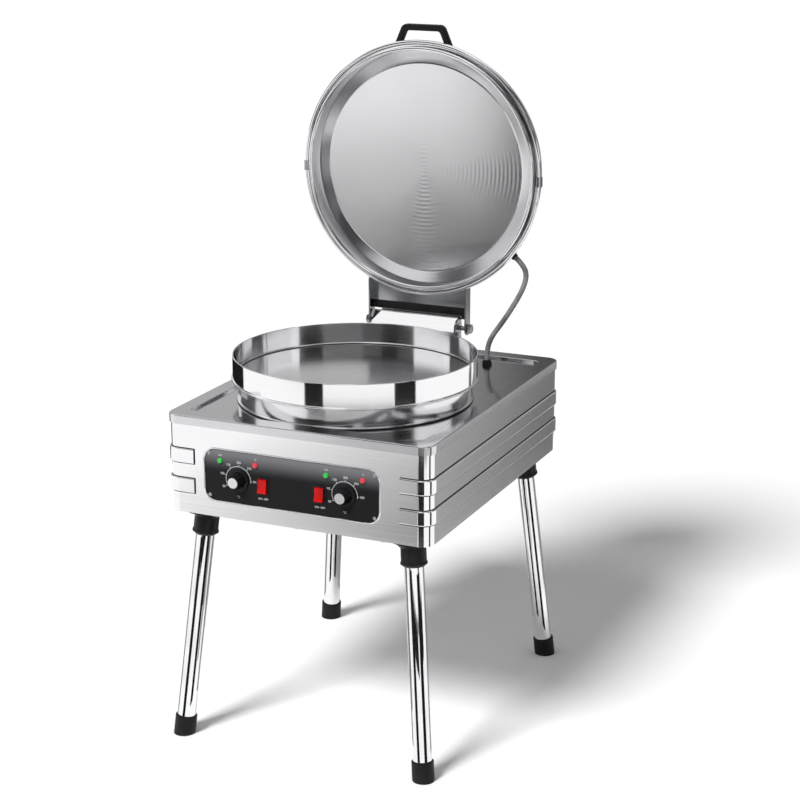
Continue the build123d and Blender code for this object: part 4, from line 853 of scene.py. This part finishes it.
def floor_arc(shape, centre, turn, spread, near, far):
    """Add part of a ring on the floor, between two distances from a point, with its middle at a turn from
    the front"""
    step_angle = 4
    x, y = centre
    first = math.radians(turn - spread / 2)
    ends = [shape.verts.new((x + reach * math.sin(first), y - reach * math.cos(first), arc_lift))
            for reach in (near, far)]
    edge = shape.edges.new(ends)
    bmesh.ops.spin(shape, geom=[edge, *ends], cent=(x, y, arc_lift), axis=(0, 0, 1),
                   angle=math.radians(spread), steps=round(spread / step_angle))


def leg_strip(shape, foot, lean, turn, spread):
    """Add a strip that stands on the floor beside a leg and leans as it does"""
    distance = 0.16
    height = 0.40
    angle = math.radians(turn)
    reach = Vector((math.sin(angle), -math.cos(angle), 0.0)) * distance
    half = Vector((math.cos(angle), math.sin(angle), 0.0)) * distance * math.tan(math.radians(spread / 2))
    edge = shape.edges.new([shape.verts.new(foot + reach + offset) for offset in (-half, half)])
    raised = bmesh.ops.extrude_edge_only(shape, edges=[edge])["geom"]
    bmesh.ops.translate(shape, vec=lean * height,
                        verts=[part for part in raised if isinstance(part, bmesh.types.BMVert)])


# Tones of the even cards
black = (0.012, 0.012)
near_black = (0.02, 0.02)
charcoal = (0.06, 0.06)
slate = (0.09, 0.09)
dark_grey = (0.25, 0.25)
mid_grey = (0.28, 0.28)

# Beside the camera: black stripes in the pan's band and skirt
standing_card("left_of_camera", -10.5, 1.9, 0.54, 0.21, 2.2, black)
standing_card("right_of_camera", 67, 1.9, 0.66, 0.21, 2.2, black)

# Behind the camera: dark deck, plates and inner wall of the pan
standing_card("behind_left", -8, 4.8, 4.9, 1.35, 2.8, near_black)
standing_card("behind_camera", 41, 4.9, 4.6, 1.35, 2.8, slate)
standing_card("behind_right", 72, 4.8, 1.7, 1.35, 2.8, near_black)

# High in front: dark parts of the lid's bevel and inner wall
standing_card("high_front_right", 52, 1.9, 3.0, 2.2, 5.0, black)
standing_card("high_front_left", -40, 1.9, 2.4, 1.7, 3.1, charcoal)

# Beside and behind the object: dark edges of the skirt and the lid's hoop, and grey in the lid's back
standing_card("far_left", -130, 1.8, 2.5, 0.0, 0.8, black)
standing_card("far_right", 184, 2.0, 1.4, 0.0, 0.5, black)
standing_card("high_left", -101, 2.2, 1.5, 1.15, 2.2, black)
standing_card("low_right", 125, 2.2, 3.0, 0.3, 1.15, (0.45, 0.012), "X", (0.9, 2.2))
standing_card("high_right", 109, 2.2, 1.4, 1.6, 3.6, black)
standing_card("high_back", 165, 2.6, 3.9, 0.2, 3.6, (0.60, 0.012), "X", (-1.0, 2.5))

# Shades across the casing's right side, the deck and the casing's front
standing_card("right_side", 90, 0.75, 1.3, 0.0, 0.34, (0.38, 0.14), "Y", (0.70, 1.70), slide=1.2)
standing_card("behind_deck", -158, 2.4, 2.0, 0.85, 2.4, (0.50, 0.09), "X", (-1.0, -0.5))
standing_card("front_left", -27, 3.2, 2.6, 0.0, 1.1, (0.0, 1.05), "Z", (0.20, 0.75))
lying_card("front_right", (-1.1, -2.35), (-0.1, -1.5), (1.0, 0.26), "X", (-1.15, -0.22))

# Far in front on the floor: grey between the skirt's black stripes
arc = bmesh.new()
floor_arc(arc, (0.0, pan_y), 27, 64, 2.40, 2.74)
make_card("front_arc", arc, mid_grey)

# Two black and two grey lines in the chrome of each leg, and black lines in the casing's front right corner
leg_foot_x = 0.2485
leg_foot_y = 0.3210
leg_height = 0.4820
leg_lean_x = 0.0435 / leg_height
leg_lean_y = 0.0460 / leg_height
casing_corner = (0.25, -0.33)

lines = bmesh.new()
edge_lines = bmesh.new()
for side_x, side_y in ((-1, -1), (-1, 1), (1, -1), (1, 1)):
    foot = Vector((side_x * leg_foot_x, side_y * leg_foot_y, 0.0))
    lean = Vector((-side_x * leg_lean_x, -side_y * leg_lean_y, 1.0))
    leg_strip(lines, foot, lean, -11, 26)
    leg_strip(lines, foot, lean, 59, 28)
    leg_strip(edge_lines, foot, lean, -92, 30)
    leg_strip(edge_lines, foot, lean, 140, 30)
for turn, spread in ((12, 46), (90, 16)):
    floor_arc(lines, casing_corner, turn, spread, 1.25, 2.30)
make_card("leg_lines", lines, black)
make_card("leg_edge_lines", edge_lines, dark_grey)

bpy.context.scene.view_settings.view_transform = "Standard"
